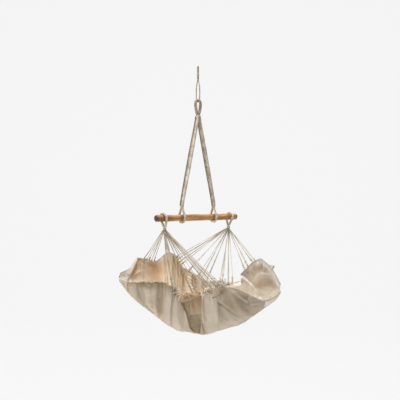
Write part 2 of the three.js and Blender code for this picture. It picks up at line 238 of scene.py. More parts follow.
# Materials
class Recipe:
    """A material's node tree, written as a list of short lines."""

    def __init__(self, name):
        self.material = bpy.data.materials.new(name)
        self.material.use_nodes = True
        self.tree = self.material.node_tree
        self.shader = self.tree.nodes["Principled BSDF"]

    def add(self, kind, settings=None, **values):
        node = self.tree.nodes.new(kind)
        for name, value in (settings or {}).items():
            setattr(node, name, value)
        for name, value in values.items():
            self.feed(node, name.replace("_", " "), value)
        return node

    def feed(self, node, name, value):
        socket = node.inputs[int(name)] if name.isdigit() else node.inputs[name]
        if isinstance(value, bpy.types.NodeSocket):
            self.tree.links.new(value, socket)
        else:
            socket.default_value = value

    def set(self, name, value):
        self.feed(self.shader, name, value)

    def noise(self, place, scale, detail=3.0, roughness=0.55):
        node = self.add("ShaderNodeTexNoise", Vector=place, Scale=scale, Detail=detail, Roughness=roughness)
        return node.outputs["Fac"]

    def math(self, operation, first, second):
        node = self.add("ShaderNodeMath", {"operation": operation})
        self.feed(node, "0", first)
        self.feed(node, "1", second)
        return node.outputs[0]

    def times(self, first, second):
        return self.math("MULTIPLY", first, second)

    def plus(self, first, second):
        return self.math("ADD", first, second)

    def ramp(self, value, low, high):
        """The value's stretch from low to high, spread over 0 to 1."""
        node = self.add("ShaderNodeMapRange", {"interpolation_type": "SMOOTHSTEP"}, Value=value)
        self.feed(node, "From Min", low)
        self.feed(node, "From Max", high)
        return node.outputs["Result"]

    def mix(self, share, first, second):
        """The first colour, and the second one by its share."""
        node = self.add("ShaderNodeMix", {"data_type": "RGBA"})
        self.feed(node, "Factor", share)
        self.feed(node, "6", first)
        self.feed(node, "7", second)
        return node.outputs[2]

    def place(self, scale=(1, 1, 1)):
        """Position on the piece at rest, stretched by the given scale."""
        where = self.add("ShaderNodeTexCoord").outputs["Object"]
        return self.add("ShaderNodeMapping", Vector=where, Scale=scale).outputs["Vector"]

    def attribute(self, name):
        return self.add("ShaderNodeAttribute", {"attribute_name": name}).outputs["Fac"]

    def bump(self, height, distance, strength=1.0, under=None):
        node = self.add("ShaderNodeBump", Height=height, Distance=distance, Strength=strength)
        if under is not None:
            self.feed(node, "Normal", under)
        return node.outputs["Normal"]


def rgba(colour):
    return (*colour[:3], 1.0)


def darker(colour):
    return [0.8 * part for part in colour]


# How deep the fuzz of thick and of fine cord is
COARSE_FIBRE = 0.0006
FINE_FIBRE = 0.0003


def cotton(name, pale, deep, fibre=COARSE_FIBRE):
    """Undyed cotton rope or cord: mottled, fuzzy and dull."""
    recipe = Recipe(name)
    place = recipe.place()
    mottle = recipe.ramp(recipe.noise(place, scale=38.0, detail=4.0), low=0.3, high=0.72)
    fuzz = recipe.noise(place, scale=1400.0, detail=2.0, roughness=0.7)
    stained = recipe.mix(mottle, rgba(deep), rgba(pale))
    between_fibres = recipe.mix(0.16, stained, rgba(deep))
    recipe.set("Base Color", recipe.mix(recipe.ramp(fuzz, low=0.35, high=0.7), between_fibres, stained))
    recipe.set("Roughness", recipe.plus(0.82, recipe.times(fuzz, 0.16)))
    recipe.set("Sheen Weight", 0.25)
    recipe.set("Sheen Roughness", 0.6)
    recipe.set("Normal", recipe.bump(fuzz, distance=fibre, strength=0.7))
    return recipe.material


def peeled_wood(look):
    """A peeled and oiled pole: streaks along it, a few knots, dark worn ends, and painted shadows beside the
    rope loops.
    """
    recipe = Recipe("bar_wood")
    drawn_out = recipe.place((5.0, 90.0, 90.0))
    fine = recipe.place((14.0, 420.0, 420.0))
    streak_noise = recipe.noise(drawn_out, scale=1.0, detail=5.0, roughness=0.62)
    streaks = recipe.ramp(streak_noise, low=0.32, high=0.68)
    grain = recipe.noise(fine, scale=1.0, detail=4.0, roughness=0.6)
    patch_noise = recipe.noise(recipe.place((7.0, 16.0, 16.0)), scale=1.0)
    patches = recipe.ramp(patch_noise, low=0.38, high=0.66)
    colour = recipe.mix(streaks, rgba(look.wood_deep), rgba(look.wood_pale))
    colour = recipe.mix(recipe.times(patches, 0.4), colour, rgba(look.wood_red))
    pores = recipe.times(recipe.ramp(grain, low=0.5, high=0.75), 0.35)
    colour = recipe.mix(pores, colour, rgba(look.wood_deep))
    colour = recipe.mix(recipe.attribute("dark_wood_and_shadow"), colour, rgba(look.wood_dark_and_shadow))
    recipe.set("Base Color", colour)
    recipe.set("Roughness", recipe.plus(0.42, recipe.times(grain, 0.25)))
    recipe.set("Normal", recipe.bump(grain, distance=0.0005, strength=0.6))
    return recipe.material


def canvas(name, pale, deep, stain_and_shade, painted_shade):
    """Unbleached cotton canvas: a plain weave with slubs, soft mottling, warm stains and painted shade."""
    recipe = Recipe(name)
    place = recipe.place()
    weave = recipe.add("ShaderNodeUVMap", {"uv_map": "cloth"}).outputs["UV"]
    threads = []
    for direction in ("X", "Y"):
        bands = recipe.add("ShaderNodeTexWave", {"bands_direction": direction}, Vector=weave, Scale=190.0)
        recipe.feed(bands, "Distortion", 1.2)
        recipe.feed(bands, "Detail Scale", 3.0)
        threads.append(bands.outputs["Fac"])
    cross = recipe.math("MAXIMUM", *threads)
    slub_place = recipe.add("ShaderNodeMapping", Vector=weave, Scale=(30.0, 700.0, 1.0)).outputs["Vector"]
    slubs = recipe.noise(slub_place, scale=1.0)
    mottle = recipe.ramp(recipe.noise(place, scale=9.0, detail=5.0, roughness=0.6), low=0.3, high=0.75)
    colour = recipe.mix(mottle, rgba(deep), rgba(pale))
    # Warm stains, and warm painted shade, from the cloth's attribute
    colour = recipe.mix(recipe.times(recipe.attribute("stain_and_shade"), 0.9), colour, rgba(stain_and_shade))
    thick_yarn = recipe.times(recipe.ramp(slubs, low=0.55, high=0.8), 0.25)
    colour = recipe.mix(thick_yarn, colour, rgba(deep))
    patchy = recipe.plus(0.55, recipe.times(mottle, 0.4))
    # Painted shade from the cloth's attribute, patchy with the mottle
    colour = recipe.mix(recipe.times(recipe.attribute("painted_shade"), patchy), colour, rgba(painted_shade))
    between_threads = recipe.times(recipe.math("SUBTRACT", 1.0, cross), 0.14)
    recipe.set("Base Color", recipe.mix(between_threads, colour, rgba(deep)))
    recipe.set("Roughness", 0.92)
    recipe.set("Sheen Weight", 0.2)
    recipe.set("Sheen Roughness", 0.5)
    creases = recipe.noise(place, scale=60.0, detail=4.0, roughness=0.6)
    creased = recipe.bump(creases, distance=0.002, strength=0.35)
    woven = recipe.bump(recipe.plus(cross, slubs), distance=0.0004, strength=0.6, under=creased)
    recipe.set("Normal", woven)
    return recipe.material


# Hanging cord: its knot is wrapped three times, at these shares of its length and of its radius
KNOT_WRAP_SHARES = (0.62, 0.74, 0.86)
KNOT_WRAP_REACH_SHARE = 0.7
KNOT_WRAP_TILT = 0.0012
SMALL_LOOP_STEP = 0.0012
LONG_LOOP_STEP = 0.0013
CORD_SIDES = 18


def make_hanging_cord(look):
    material = cotton("thin_cord", look.cord_pale, look.cord_deep)
    loop = tube(small_loop_path(), CORD_RADIUS, CORD_SIDES, CORD_LAY)
    make_piece("small_loop", *loop, [material], "hook_loop", "thin_cord", ["top_loop"])
    make_piece("twisted_knot", *twisted_knot(), [material], "cord_knot", "thin_cord", ["cord_knot"])
    loop = tube(long_loop_path(), CORD_RADIUS, CORD_SIDES, CORD_LAY)
    make_piece("long_loop_cord", *loop, [material], "long_loop", "thin_cord", ["long_loop"])


# The two cords of a loop lie side by side, each this far from the middle
CORD_REACH = CORD_RADIUS + CLEARANCE / 2


def small_loop_path():
    knot_top = box("cord_knot")[1][2]
    crown = -CORD_RADIUS
    side = [(CORD_REACH, 0, height) for height in (knot_top - CORD_RADIUS, knot_top / 2, crown - CORD_REACH)]
    route = [(-x, y, z) for x, y, z in side] + [(0, 0, crown)] + side[::-1]
    return strand_path(route, SMALL_LOOP_STEP)


def twisted_knot():
    """Two cords twisted into one, wrapped with thinner turns near the top."""
    low, high = box("cord_knot")
    radius = (high[0] - low[0]) / 2
    length = high[2] - low[2]
    shares = np.linspace(0, 1, 70)
    foot = np.sqrt(np.clip(1 - (1 - np.minimum(shares * length / radius, 1)) ** 2, 0.02, 1))
    swell = 0.93 + 0.07 * np.cos(shares * math.tau * 2.5)
    path = np.outer(low[2] + shares * length, [0, 0, 1])
    parts = [tube(path, radius * foot * swell, 28, CORD_KNOT_LAY)]
    turn = np.linspace(0, math.tau, 41)
    for share in KNOT_WRAP_SHARES:
        ring = circle(turn) * radius * KNOT_WRAP_REACH_SHARE
        ring[:, 2] = low[2] + length * share + KNOT_WRAP_TILT * np.sin(turn)
        parts.append(tube(ring, CORD_RADIUS * 0.6, 10, CORD_WRAP_LAY))
    return joined(parts)


def long_loop_path():
    """Down from the knot, round a bight at the foot and up again."""
    knot_foot = box("cord_knot")[0][2]
    low, high = box("long_loop")
    bight_reach = (high[1] - low[1]) / 2 - CORD_RADIUS
    start = knot_foot + CORD_RADIUS / 2
    shoulder = knot_foot - (knot_foot - low[2]) / 3
    centre = low[2] + CORD_RADIUS + bight_reach
    turns = np.linspace(0, math.pi, 9)
    bight = [(0, math.cos(t) * bight_reach, centre - math.sin(t) * bight_reach) for t in turns]
    head = [(0, CORD_REACH, start), (0, CORD_REACH, start - 2 * CORD_RADIUS), (0, bight_reach, shoulder)]
    return strand_path(head + bight + [(x, -y, z) for x, y, z in head[::-1]], LONG_LOOP_STEP)


def whipping(centre, width, depth, height, wrap_radius):
    """Tight turns of thin cord round an upright oval bundle."""
    turns = max(2, round(height / (2 * wrap_radius)))
    turn = np.linspace(0, math.tau * turns, 30 * turns)
    rise = np.linspace(-height / 2 + wrap_radius, height / 2 - wrap_radius, len(turn))
    swell = 1 - 0.12 * (2 * rise / height) ** 2
    path = circle(turn) * [width / 2 - wrap_radius, depth / 2 - wrap_radius, 0] * swell[:, None]
    path[:, 2] = rise
    return tube(centre + path, wrap_radius, 10, laid(strands=3, pitch=5 * wrap_radius, groove=0.2))


# Rope eye and legs
ROPE_STEP = 0.0014
ROPE_SIDES = 32
# Two ropes lie side by side this far apart
ROPE_PITCH = 2 * ROPE_RADIUS + CLEARANCE
# Half of the eye, from its foot up: shares of its reach and of its drop below the crown
EYE_SHARES = [(0.5, 0.8), (0.76, 0.52), (0.88, 0.27), (0.66, 0.06)]
# The eye's rope is loosely laid, so it is thicker than the legs' ropes by this share
EYE_SWELL_SHARE = 0.2
EYE_WHIPPING_HEIGHT = 0.0135
EYE_WRAP_RADIUS = 0.0019
LEG_WRAP_RADIUS = 0.0017
# Reach of the plaited core inside each whipping, as a share of the rope's radius
EYE_CORE_SHARE = 1.72
LEG_CORE_SHARE = 0.98
# How far a leg's ropes bow apart and how far they lead straight in, as shares of their radius
LEG_BOW_SHARE = 0.34
LEG_LEAD_SHARE = 1.4
# The back ropes get painted shade on their side towards the camera's left: which way that is, and how far
# round it begins
SHADED_SIDE_WAY = (-0.731, 0.682, 0)
SHADED_SIDE_FROM = {"left": 0, "right": 0.2}


def make_ropes(look):
    material = cotton("leg_rope", look.rope_pale, look.rope_deep)
    # Painted shade for one side of the back ropes
    side_shaded = cotton("leg_rope_side_shaded", look.rope_side_shade, darker(look.rope_side_shade))
    # The eye takes the leg rope's deeper colours, a shaded copy of it: painted shade
    eye_shaded = cotton("eye_rope", look.rope_deep, look.rope_shaded)
    make_piece("eye_rope", *rope_eye(), [eye_shaded], "hanger", "leg_rope", ["rope_eye"])
    make_piece("eye_whipping", *eye_whipping(), [material], "hanger", "leg_rope", ["eye_seizing"])
    for side_name, sign in (("left", -1), ("right", 1)):
        make_leg(side_name, sign, material, side_shaded)


def rope_eye():
    low, high = box("rope_eye")
    seizing_top = box("eye_seizing")[1][2]
    reach = (high[0] - low[0]) / 2 - ROPE_RADIUS
    crown = high[2] - ROPE_RADIUS
    drop = crown - seizing_top
    half = [(ROPE_PITCH / 2, 0, seizing_top - ROPE_RADIUS), (ROPE_PITCH / 2, 0, seizing_top + ROPE_RADIUS)]
    half += [(out * reach, 0, crown - down * drop) for out, down in EYE_SHARES]
    path = strand_path([(-x, y, z) for x, y, z in half] + [(0, 0, crown)] + half[::-1], ROPE_STEP)
    fallen = np.clip((crown - path[:, 2]) / drop, 0, 1)
    swell = 1 + EYE_SWELL_SHARE * np.sqrt(np.sin(math.pi * fallen))
    return tube(path, ROPE_RADIUS * swell, ROPE_SIDES, LEG_PLAIT)


def eye_whipping():
    low, high = box("eye_seizing")
    width = 4 * ROPE_RADIUS + CLEARANCE
    turns = whipping(middle("eye_seizing"), width, width, EYE_WHIPPING_HEIGHT, EYE_WRAP_RADIUS)
    core = tube(np.linspace(low, high, 12) * [0, 0, 1], EYE_CORE_SHARE * ROPE_RADIUS, 24, CORE_PLAIT)
    return joined([turns, core])


def make_leg(side_name, sign, material, side_shaded):
    """One leg: two ropes side by side, and the whipping at their foot."""
    seizing = side_name + "_leg_seizing"
    low, high = box(seizing)
    foot_x = middle(seizing)[0]
    for strand, face in (("front", -1), ("back", 1)):
        face_y = face * ROPE_PITCH / 2
        top = np.array([sign * ROPE_PITCH / 2, face_y, box("eye_seizing")[0][2] + ROPE_RADIUS])
        end = np.array([foot_x, face_y, high[2] - ROPE_RADIUS / 2])
        centre = (top + end) / 2 - [face * LEG_BOW_SHARE * ROPE_RADIUS, 0, 0]
        route = [top, top - [0, 0, LEG_LEAD_SHARE * ROPE_RADIUS], centre, end + [0, 0, ROPE_RADIUS], end]
        rope = tube(strand_path(route, ROPE_STEP), ROPE_RADIUS, ROPE_SIDES, LEG_PLAIT)
        name = f"{side_name}_leg_{strand}"
        piece = make_piece(name, *rope, [material, side_shaded], "hanger", "leg_rope", [name + "_rope"])
        # On a back rope, the faces on that side take the painted-shade material
        if strand == "back":
            for face_side in piece.data.polygons:
                face_side.material_index = int(face_side.normal.dot(SHADED_SIDE_WAY) > SHADED_SIDE_FROM[side_name])
    turns = whipping(middle(seizing), high[0] - low[0], high[1] - low[1], high[2] - low[2], LEG_WRAP_RADIUS)
    core_path = np.linspace([foot_x, 0, low[2]], [foot_x, 0, high[2]], 8)
    mesh = joined([turns, tube(core_path, ROPE_RADIUS * LEG_CORE_SHARE, 20, CORE_PLAIT)])
    make_piece(side_name + "_leg_whipping", *mesh, [material], "hanger", "leg_rope", [seizing])


def round_the_bar(end_height, end_x, wrap_x):
    """The route of a loop from its closed end round the bar and back."""
    rise = end_height - BAR_HEIGHT
    side = math.copysign(1, rise)
    reach = LOOP_RADIUS + CLEARANCE / 2
    radius = BAR_RADIUS + CLEARANCE + LOOP_RADIUS
    touch = math.atan2(abs(rise), reach) - math.acos(radius / math.hypot(reach, rise))
    sweep = math.pi + 2 * touch
    lead = end_height - side * LOOP_RADIUS / 2
    route = [(end_x, reach, end_height), (end_x, reach, lead)]
    for i in range(11):
        turn = touch - sweep * i / 10
        height = side * math.sin(turn) * radius
        along = end_x + (wrap_x - end_x) * (rise - height) / (rise + side * radius)
        route.append((along, math.cos(turn) * radius, BAR_HEIGHT + height))
    return route + [(end_x, -reach, lead), (end_x, -reach, end_height)]


def make_bar_loops(look):
    material = cotton("loop_rope", look.loop_pale, look.loop_deep)
    for side_name in ("left", "right"):
        seizing = side_name + "_leg_seizing"
        foot_x = middle(seizing)[0]
        route = round_the_bar(box(seizing)[0][2] + CLEARANCE, foot_x, foot_x)
        node = side_name + "_bar_sling"
        make_piece(side_name + "_bar_loop", *bar_loop(route), [material], "hanger", "loop_rope", [node])

        knot = side_name + "_gather_knot"
        node = side_name + "_cradle_loop"
        far_x = box(node)[0][0] + LOOP_RADIUS if side_name == "left" else box(node)[1][0] - LOOP_RADIUS
        route = round_the_bar(box(knot)[1][2], middle(knot)[0], far_x)
        make_piece(side_name + "_hung_loop", *bar_loop(route), [material], "cradle", "loop_rope", [node])
        mesh = gathering(*box(knot))
        make_piece(side_name + "_gathering", *mesh, [material], "cradle", "loop_rope", [knot])


def bar_loop(route):
    return tube(strand_path(route, ROPE_STEP), LOOP_RADIUS, 28, LOOP_PLAIT)


# The turns of a gathering knot: how far each is tilted, and how far it lies from the middle
GATHERING_TURNS = [(0.0, -0.35), (0.0, 0.0), (0.0, 0.35), (0.9, -0.2), (0.9, 0.2), (-0.9, -0.2), (-0.9, 0.2)]
GATHERING_WRAP_RADIUS = 0.0019


def gathering(low, high):
    """A knot of crossed turns that holds a loop's foot and the heads of its fan."""
    centre = (low + high) / 2
    half = (high - low) / 2
    wrap = GATHERING_WRAP_RADIUS
    height = np.linspace(low[2] + wrap, high[2] - wrap, 24)
    bulge = np.sqrt(np.clip(1 - ((height - centre[2]) / half[2]) ** 2, 0.05, 1))
    core_path = centre * [1, 1, 0] + np.outer(height, [0, 0, 1])
    parts = [tube(core_path, bulge * (half[0] - wrap), 24)]
    for tilt, shift in GATHERING_TURNS:
        x, y, z = circle(np.linspace(0, math.tau, 48)).T * math.sqrt(1 - shift * shift)
        z = z + shift
        cos, sin = math.cos(tilt), math.sin(tilt)
        turned = np.column_stack([x, y * cos - z * sin, y * sin + z * cos])
        parts.append(tube(centre + turned * (half - wrap), wrap, 10, GATHERING_LAY))
    return joined(parts)


# Spreader bar: where the pole had twigs, as place along it, turn round it and size
BAR_TWIGS = [(-0.2475, math.pi + 0.85, 0.006), (-0.176, math.pi + 1.0, 0.004), (0.118, 1.2, 0.005)]
# Beside each rope loop a painted shadow darkens the wood: places along the bar, and how wide and dark the
# shadows are
BAR_LOOP_SHADOWS = (-0.24, -0.123, 0.097, 0.212)
BAR_LOOP_SHADOW_REACH = 0.008
BAR_LOOP_SHADOW_DARKNESS = 0.55
# Both ends are dark, and the left one is a little dark much further in
BAR_END_REACH = 0.017
BAR_LEFT_DARK_FROM = -0.17
BAR_LEFT_DARK_FADE = 0.03
BAR_LEFT_DARKNESS = 0.42
# How far the peeled surface lies in, and its waves: height, run along it, turns round it and start
BAR_WORN = 0.0007
BAR_WAVES = [(0.0004, 31, 2, 0), (0.0003, 57, -3, 1), (0.0002, 140, 5, 0)]
# Each twig left a raised collar round a small hollow
TWIG_COLLAR = 0.0007
TWIG_HOLLOW = 0.001


def make_bar(look):
    material = peeled_wood(look)
    rings, sides = 260, 72
    along = np.linspace(-BAR_LENGTH / 2, BAR_LENGTH / 2, rings)
    inset = falls(np.abs(along), BAR_LENGTH / 2, BAR_END_ROUNDING)
    rounding = BAR_RADIUS - BAR_END_ROUNDING * (1 - np.sqrt(1 - (1 - inset) ** 2))
    x, a = np.meshgrid(along, np.arange(sides) * math.tau / sides, indexing="ij")
    radius = rounding[:, None] - BAR_WORN
    for height, lengthwise, crosswise, start in BAR_WAVES:
        radius = radius + height * np.sin(x * lengthwise + crosswise * a + start)
    dark = (1 - falls(np.abs(x), BAR_LENGTH / 2, BAR_END_REACH)) ** 0.8
    dark = np.maximum(dark, BAR_LEFT_DARKNESS * falls(x, BAR_LEFT_DARK_FROM, BAR_LEFT_DARK_FADE))
    # Painted shadows on the wood beside the rope loops
    for shadow_x in BAR_LOOP_SHADOWS:
        dark = np.maximum(dark, BAR_LOOP_SHADOW_DARKNESS * np.exp(-(((x - shadow_x) / BAR_LOOP_SHADOW_REACH) ** 2)))
    for twig_x, twig_turn, size in BAR_TWIGS:
        reach = np.hypot(x - twig_x, BAR_RADIUS * np.angle(np.exp(1j * (a - twig_turn)))) / size
        collar = TWIG_COLLAR * np.exp(-((reach - 1.2) ** 2) * 3)
        hollow = TWIG_HOLLOW * np.exp(-((reach * 1.6) ** 2))
        radius = radius + collar - hollow
        dark = np.maximum(dark, np.exp(-(reach**2) * 1.2))
    corners = np.stack([x, radius * np.cos(a), BAR_HEIGHT + radius * np.sin(a)], axis=-1).reshape(-1, 3)
    faces = [face[:1] + face[:0:-1] for face in tube_faces(rings, sides)]
    piece = make_piece("wooden_bar", corners, faces, [material], "bar", "bar_wood", ["spreader_bar"])
    set_attribute(piece, "dark_wood_and_shadow", dark.reshape(-1))


# Fans of thin cord
def ends_of(node):
    """The middles of a straight cord's two ends, the upper end first."""
    places = np.array([corner.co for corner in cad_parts[node].data.vertices])
    centre = places.mean(axis=0)
    run = np.linalg.svd(places - centre)[2][0]
    share = (places - centre) @ run
    ends = [places[share < share.min() + FAN_RADIUS], places[share > share.max() - FAN_RADIUS]]
    return sorted((end.mean(axis=0) for end in ends), key=lambda p: -p[2])


# Tags of cord on the fans: size of the knot near the sling, and of the second one on some cords
TAG_SIZE = 0.0045
BIG_TAG_SIZE = 0.0125
BIG_TAG_CORD = "right_fan_cord_12"
SMALL_TAG_SIZE = 0.003
SMALL_TAG_CHANCE = 0.4
# How far each knot is from the sling, from least to most
TAG_FROM_SLING = 0.01, 0.02
SMALL_TAG_FROM_SLING = 0.03, 0.06
# How far the two strands of a cord part, from least to most
STRAND_SPREAD = 0.0005, 0.003
# Sleeves of cloth drawn up round the cords' ends: the right fan's first ones are longer and fuller
LONG_SLEEVES = 6
LONG_SLEEVE_REACH = (0.026, 0.04)
SLEEVE_REACH = (0.012, 0.02)
LONG_SLEEVE_RADIUS = 0.0075
SLEEVE_RADIUS = 0.0052
# How far a cord runs past its solid's ends, into the knot and into the hem
CORD_INTO_KNOT = 0.002
CORD_INTO_HEM = 0.006
FAN_STEP = 0.0016
FAN_SAG = 0.0008
# The shade of each cord, counted from the sling's head: pale, grey or dark; grey and dark are painted shade,
# partly also stains
CORD_SHADES = {
    "left": "dgdggpdpgpddpdpdgp",
    "right": "pgdppppgppdpdddd",
}
FAN_SEEDS = {"left": 100, "right": 300}


def make_fans(look):
    materials = {
        "p": cotton("fan_cord", look.fan_pale, look.fan_deep, FINE_FIBRE),
        # Grey and dark cords are darker copies of the fan cord: painted shade, partly also the cords' own
        # stains
        "g": cotton("fan_cord_grey", look.fan_deep, look.fan_dark, FINE_FIBRE),
        "d": cotton("fan_cord_dark", look.fan_dark, darker(look.fan_dark), FINE_FIBRE),
    }
    cloth = cotton("cord_sleeve", look.fan_deep, look.sleeve_deep, 0.0004)
    for side_name, shades in CORD_SHADES.items():
        sleeves = []
        for number, shade in enumerate(shades, 1):
            node = f"{side_name}_fan_cord_{number:02d}"
            random = np.random.default_rng(number + FAN_SEEDS[side_name])
            top, low = ends_of(node)
            length = np.linalg.norm(low - top)
            run = unit(low - top)
            top = top - run * CORD_INTO_KNOT
            low = low + run * CORD_INTO_HEM
            share = np.linspace(0, 1, round(length / FAN_STEP))
            line = top + np.outer(share, low - top)
            parts = fan_strands(line, share, run, random)
            size = BIG_TAG_SIZE if node == BIG_TAG_CORD else TAG_SIZE
            parts += cord_tag(line, 1 - random.uniform(*TAG_FROM_SLING) / length, size, number)
            if random.random() < SMALL_TAG_CHANCE:
                at = 1 - random.uniform(*SMALL_TAG_FROM_SLING) / length
                parts += cord_tag(line, at, SMALL_TAG_SIZE, number + 50)
            make_piece(node + "_laid", *joined(parts), [materials[shade]], "cradle", "fan_cord", [node])
            long = side_name == "right" and number <= LONG_SLEEVES
            reach = random.uniform(*(LONG_SLEEVE_REACH if long else SLEEVE_REACH))
            sleeve = np.linspace(0, 1, 14)
            swell = (LONG_SLEEVE_RADIUS if long else SLEEVE_RADIUS) * (1 - 0.7 * sleeve**0.8)
            sleeves.append(tube(low - np.outer(sleeve * reach, run), swell, 16, SLEEVE_PLEATS))
        make_piece(side_name + "_cord_sleeves", *joined(sleeves), [cloth], "cradle", "hem_cloth", [])


def fan_strands(line, share, run, random):
    """The two strands of a fan cord, which part a little towards the sling."""
    apart = unit(np.cross(run, [random.uniform(-0.3, 0.3), 1, 0]))
    turned = np.cross(run, apart)
    spread = random.uniform(*STRAND_SPREAD)
    parting = rises(share, 0.45, 0.4) * np.maximum(0.2, falls(share, 1, 0.06))
    sag = np.outer(np.sin(share * math.pi) * FAN_SAG, [0, 0, -1])
    strands = []
    for face in (-1, 1):
        twist = share * random.uniform(0.5, 2.0) * math.pi
        wide = face * (FAN_RADIUS * 0.92 + spread * parting)
        aside = np.outer(np.cos(twist) * wide, apart) + np.outer(np.sin(twist) * wide * 0.4, turned)
        strands.append(tube(line + aside + sag, FAN_RADIUS * 0.9, 8, FAN_LAY))
    return strands


def cord_tag(path, at, size, seed):
    """A small overhand knot round a cord, with its short tail."""
    random = np.random.default_rng(seed)
    centre = path[0] + (path[-1] - path[0]) * at
    run = unit(path[-1] - path[0])
    first = unit(np.cross(run, [0.3, 0.8, 0.2]))
    frame_ways = np.array([first, np.cross(run, first), run])
    turn = np.linspace(0, math.tau * 2.6, 60) + random.uniform(0, math.tau)
    swell = FAN_RADIUS * 1.75 + 0.25 * FAN_RADIUS * np.sin(turn * 1.3)
    coil = circle(turn) * swell[:, None]
    coil[:, 2] = np.linspace(-size, size, 60) * 0.75
    coil = centre + coil @ frame_ways
    tail_way = [random.uniform(-1, 1), random.uniform(-1, 1), random.uniform(0.1, 0.9)]
    away = unit(np.array(tail_way) @ frame_ways)
    share = np.linspace(0, 1, 10)
    tail = coil[-1] + np.outer(share, away * size * random.uniform(1.2, 2.6))
    tail = tail + np.outer(share**2, [0, 0, -0.35 * size])
    return [tube(coil, FAN_RADIUS * 0.95, 9, FAN_KNOT_LAY), tube(tail, FAN_RADIUS * 0.8, 8)]


# Sling cloth: places are shares of half its width, half its length and its depth under the bar
CLOTH_LENGTH = 0.9
CLOTH_WIDTH = 0.372
CLOTH_DEPTH = 0.592
FOLD_DEPTH = 0.062
NEAR_RIM_SHARES = [
    (-0.968, 0.964, 0.564), (-1, 0.878, 0.574), (-0.99, 0.756, 0.588), (-0.94, 0.6, 0.579),
    (-0.86, 0.422, 0.569), (-0.753, 0.244, 0.562), (-0.656, 0.111, 0.605), (-0.635, 0.065, 0.665),
    (-0.613, -0.01, 0.7), (-0.602, -0.133, 0.668), (-0.602, -0.267, 0.636), (-0.602, -0.389, 0.611),
    (-0.602, -0.511, 0.588), (-0.602, -0.622, 0.535), (-0.43, -0.733, 0.548),
    (-0.108, -0.844, 0.606), (0.215, -0.911, 0.649), (0.591, -0.933, 0.627), (0.9, -0.9, 0.594),
]
FAR_RIM_SHARES = [
    (-0.93, 0.985, 0.548), (-0.86, 0.998, 0.522), (-0.645, 1.004, 0.505), (-0.484, 0.996, 0.476),
    (-0.323, 0.978, 0.405), (-0.27, 0.968, 0.393), (-0.142, 0.94, 0.402), (0, 0.911, 0.415),
    (0.161, 0.862, 0.43), (0.323, 0.8, 0.392), (0.42, 0.755, 0.351), (0.545, 0.685, 0.369),
    (0.59, 0.655, 0.385), (0.62, 0.62, 0.43), (0.656, 0.533, 0.49), (0.677, 0.422, 0.522),
    (0.667, 0.267, 0.559), (0.634, 0.133, 0.586), (0.602, 0, 0.573), (0.602, -0.133, 0.579),
    (0.602, -0.267, 0.574), (0.613, -0.4, 0.546), (0.61, -0.465, 0.535), (0.549, -0.458, 0.479),
    (0.585, -0.49, 0.448), (0.602, -0.533, 0.42), (0.613, -0.6, 0.377), (0.634, -0.667, 0.348),
    (0.66, -0.7, 0.339), (0.699, -0.733, 0.355), (0.806, -0.811, 0.42), (0.925, -0.885, 0.545),
]
KEEL_SHARES = [
    (-0.935, 0.95, 0.6), (-0.833, 0.878, 0.672), (-0.699, 0.778, 0.758), (-0.565, 0.667, 0.819),
    (-0.43, 0.533, 0.883), (-0.312, 0.4, 0.953), (-0.204, 0.267, 0.99), (-0.097, 0.133, 0.995),
    (0, 0, 1), (0.097, -0.133, 0.99), (0.204, -0.256, 0.951), (0.312, -0.378, 0.921),
    (0.441, -0.5, 0.882), (0.565, -0.622, 0.804), (0.699, -0.733, 0.721), (0.817, -0.822, 0.667),
    (0.9, -0.885, 0.612),
]
# Main folds of each wall: place at the rim, place at the keel, half width and depth
NEAR_FOLD_SHARES = [
    (0.22, 0.215, 0.04, 0.3), (0.285, 0.29, 0.035, -0.3), (0.33, 0.34, 0.03, 0.28),
    (0.405, 0.415, 0.035, 0.25), (0.565, 0.555, 0.025, 0.3), (0.64, 0.76, 0.03, -0.2),
    (0.725, 0.88, 0.035, 0.22),
]
FAR_FOLD_SHARES = [
    (0.22, 0.2, 0.04, 0.35), (0.36, 0.33, 0.035, -0.3), (0.46, 0.45, 0.035, 0.4),
    (0.55, 0.56, 0.035, -0.35), (0.66, 0.68, 0.03, 0.3), (0.78, 0.8, 0.035, -0.25),
]
# Panels: a crease as (height, place along), how far the cloth stands out before and after it, and its
# painted shade
NEAR_PANELS = [
    ([(0, -0.01), (1, -0.01)], 0.0, 0.002, 0.0),
    ([(0.3, 0.07), (0.47, 0.074), (0.94, 0.079)], 0.008, -0.004, 0.25),
    ([(0.43, 0.135), (0.62, 0.128), (0.98, 0.128)], 0.006, 0.004, 0.9),
    ([(0.256, 0.245), (0.49, 0.195), (0.8, 0.181), (1, 0.175)], -0.008, -0.006, 0.1),
    ([(0.3, 0.267), (0.6, 0.25), (0.84, 0.256), (1, 0.26)], 0.008, 0.008, 0.65),
    ([(0.278, 0.283), (0.644, 0.288), (0.867, 0.318), (1, 0.33)], -0.01, -0.008, 0.1),
    ([(0.156, 0.357), (0.644, 0.345), (1, 0.343)], 0.003, 0.001, 0.0),
    ([(0.2, 0.435), (0.5, 0.424), (0.79, 0.398), (1, 0.39)], 0.012, 0.008, 0.15),
    ([(0.1, 0.5), (0.25, 0.498), (0.39, 0.479), (0.72, 0.46), (0.956, 0.426)], 0.0, -0.016, 1.3),
    ([(0.1, 0.525), (0.256, 0.531), (0.7, 0.56), (0.944, 0.555)], -0.058, 0.004, 0.9),
    ([(0, 0.595), (0.267, 0.574), (0.62, 0.562), (1, 0.56)], -0.01, 0.006, 0.0),
    ([(0.2, 0.64), (0.53, 0.655), (0.83, 0.655)], 0.012, 0.012, 0.6),
    ([(0.4, 0.83), (0.556, 0.755), (0.7, 0.707), (0.83, 0.658), (1, 0.65)], -0.008, 0.006, 0.8),
    ([(0.6, 0.9), (0.8, 0.81), (0.88, 0.767), (0.97, 0.722), (1, 0.71)], -0.01, 0.002, 0.75),
    ([(0.6, 0.93), (0.8, 0.815), (1, 0.802)], -0.008, 0.004, 0.55),
    ([(0, 1.01), (1, 1.01)], -0.01, 0.0, 0.0),
]
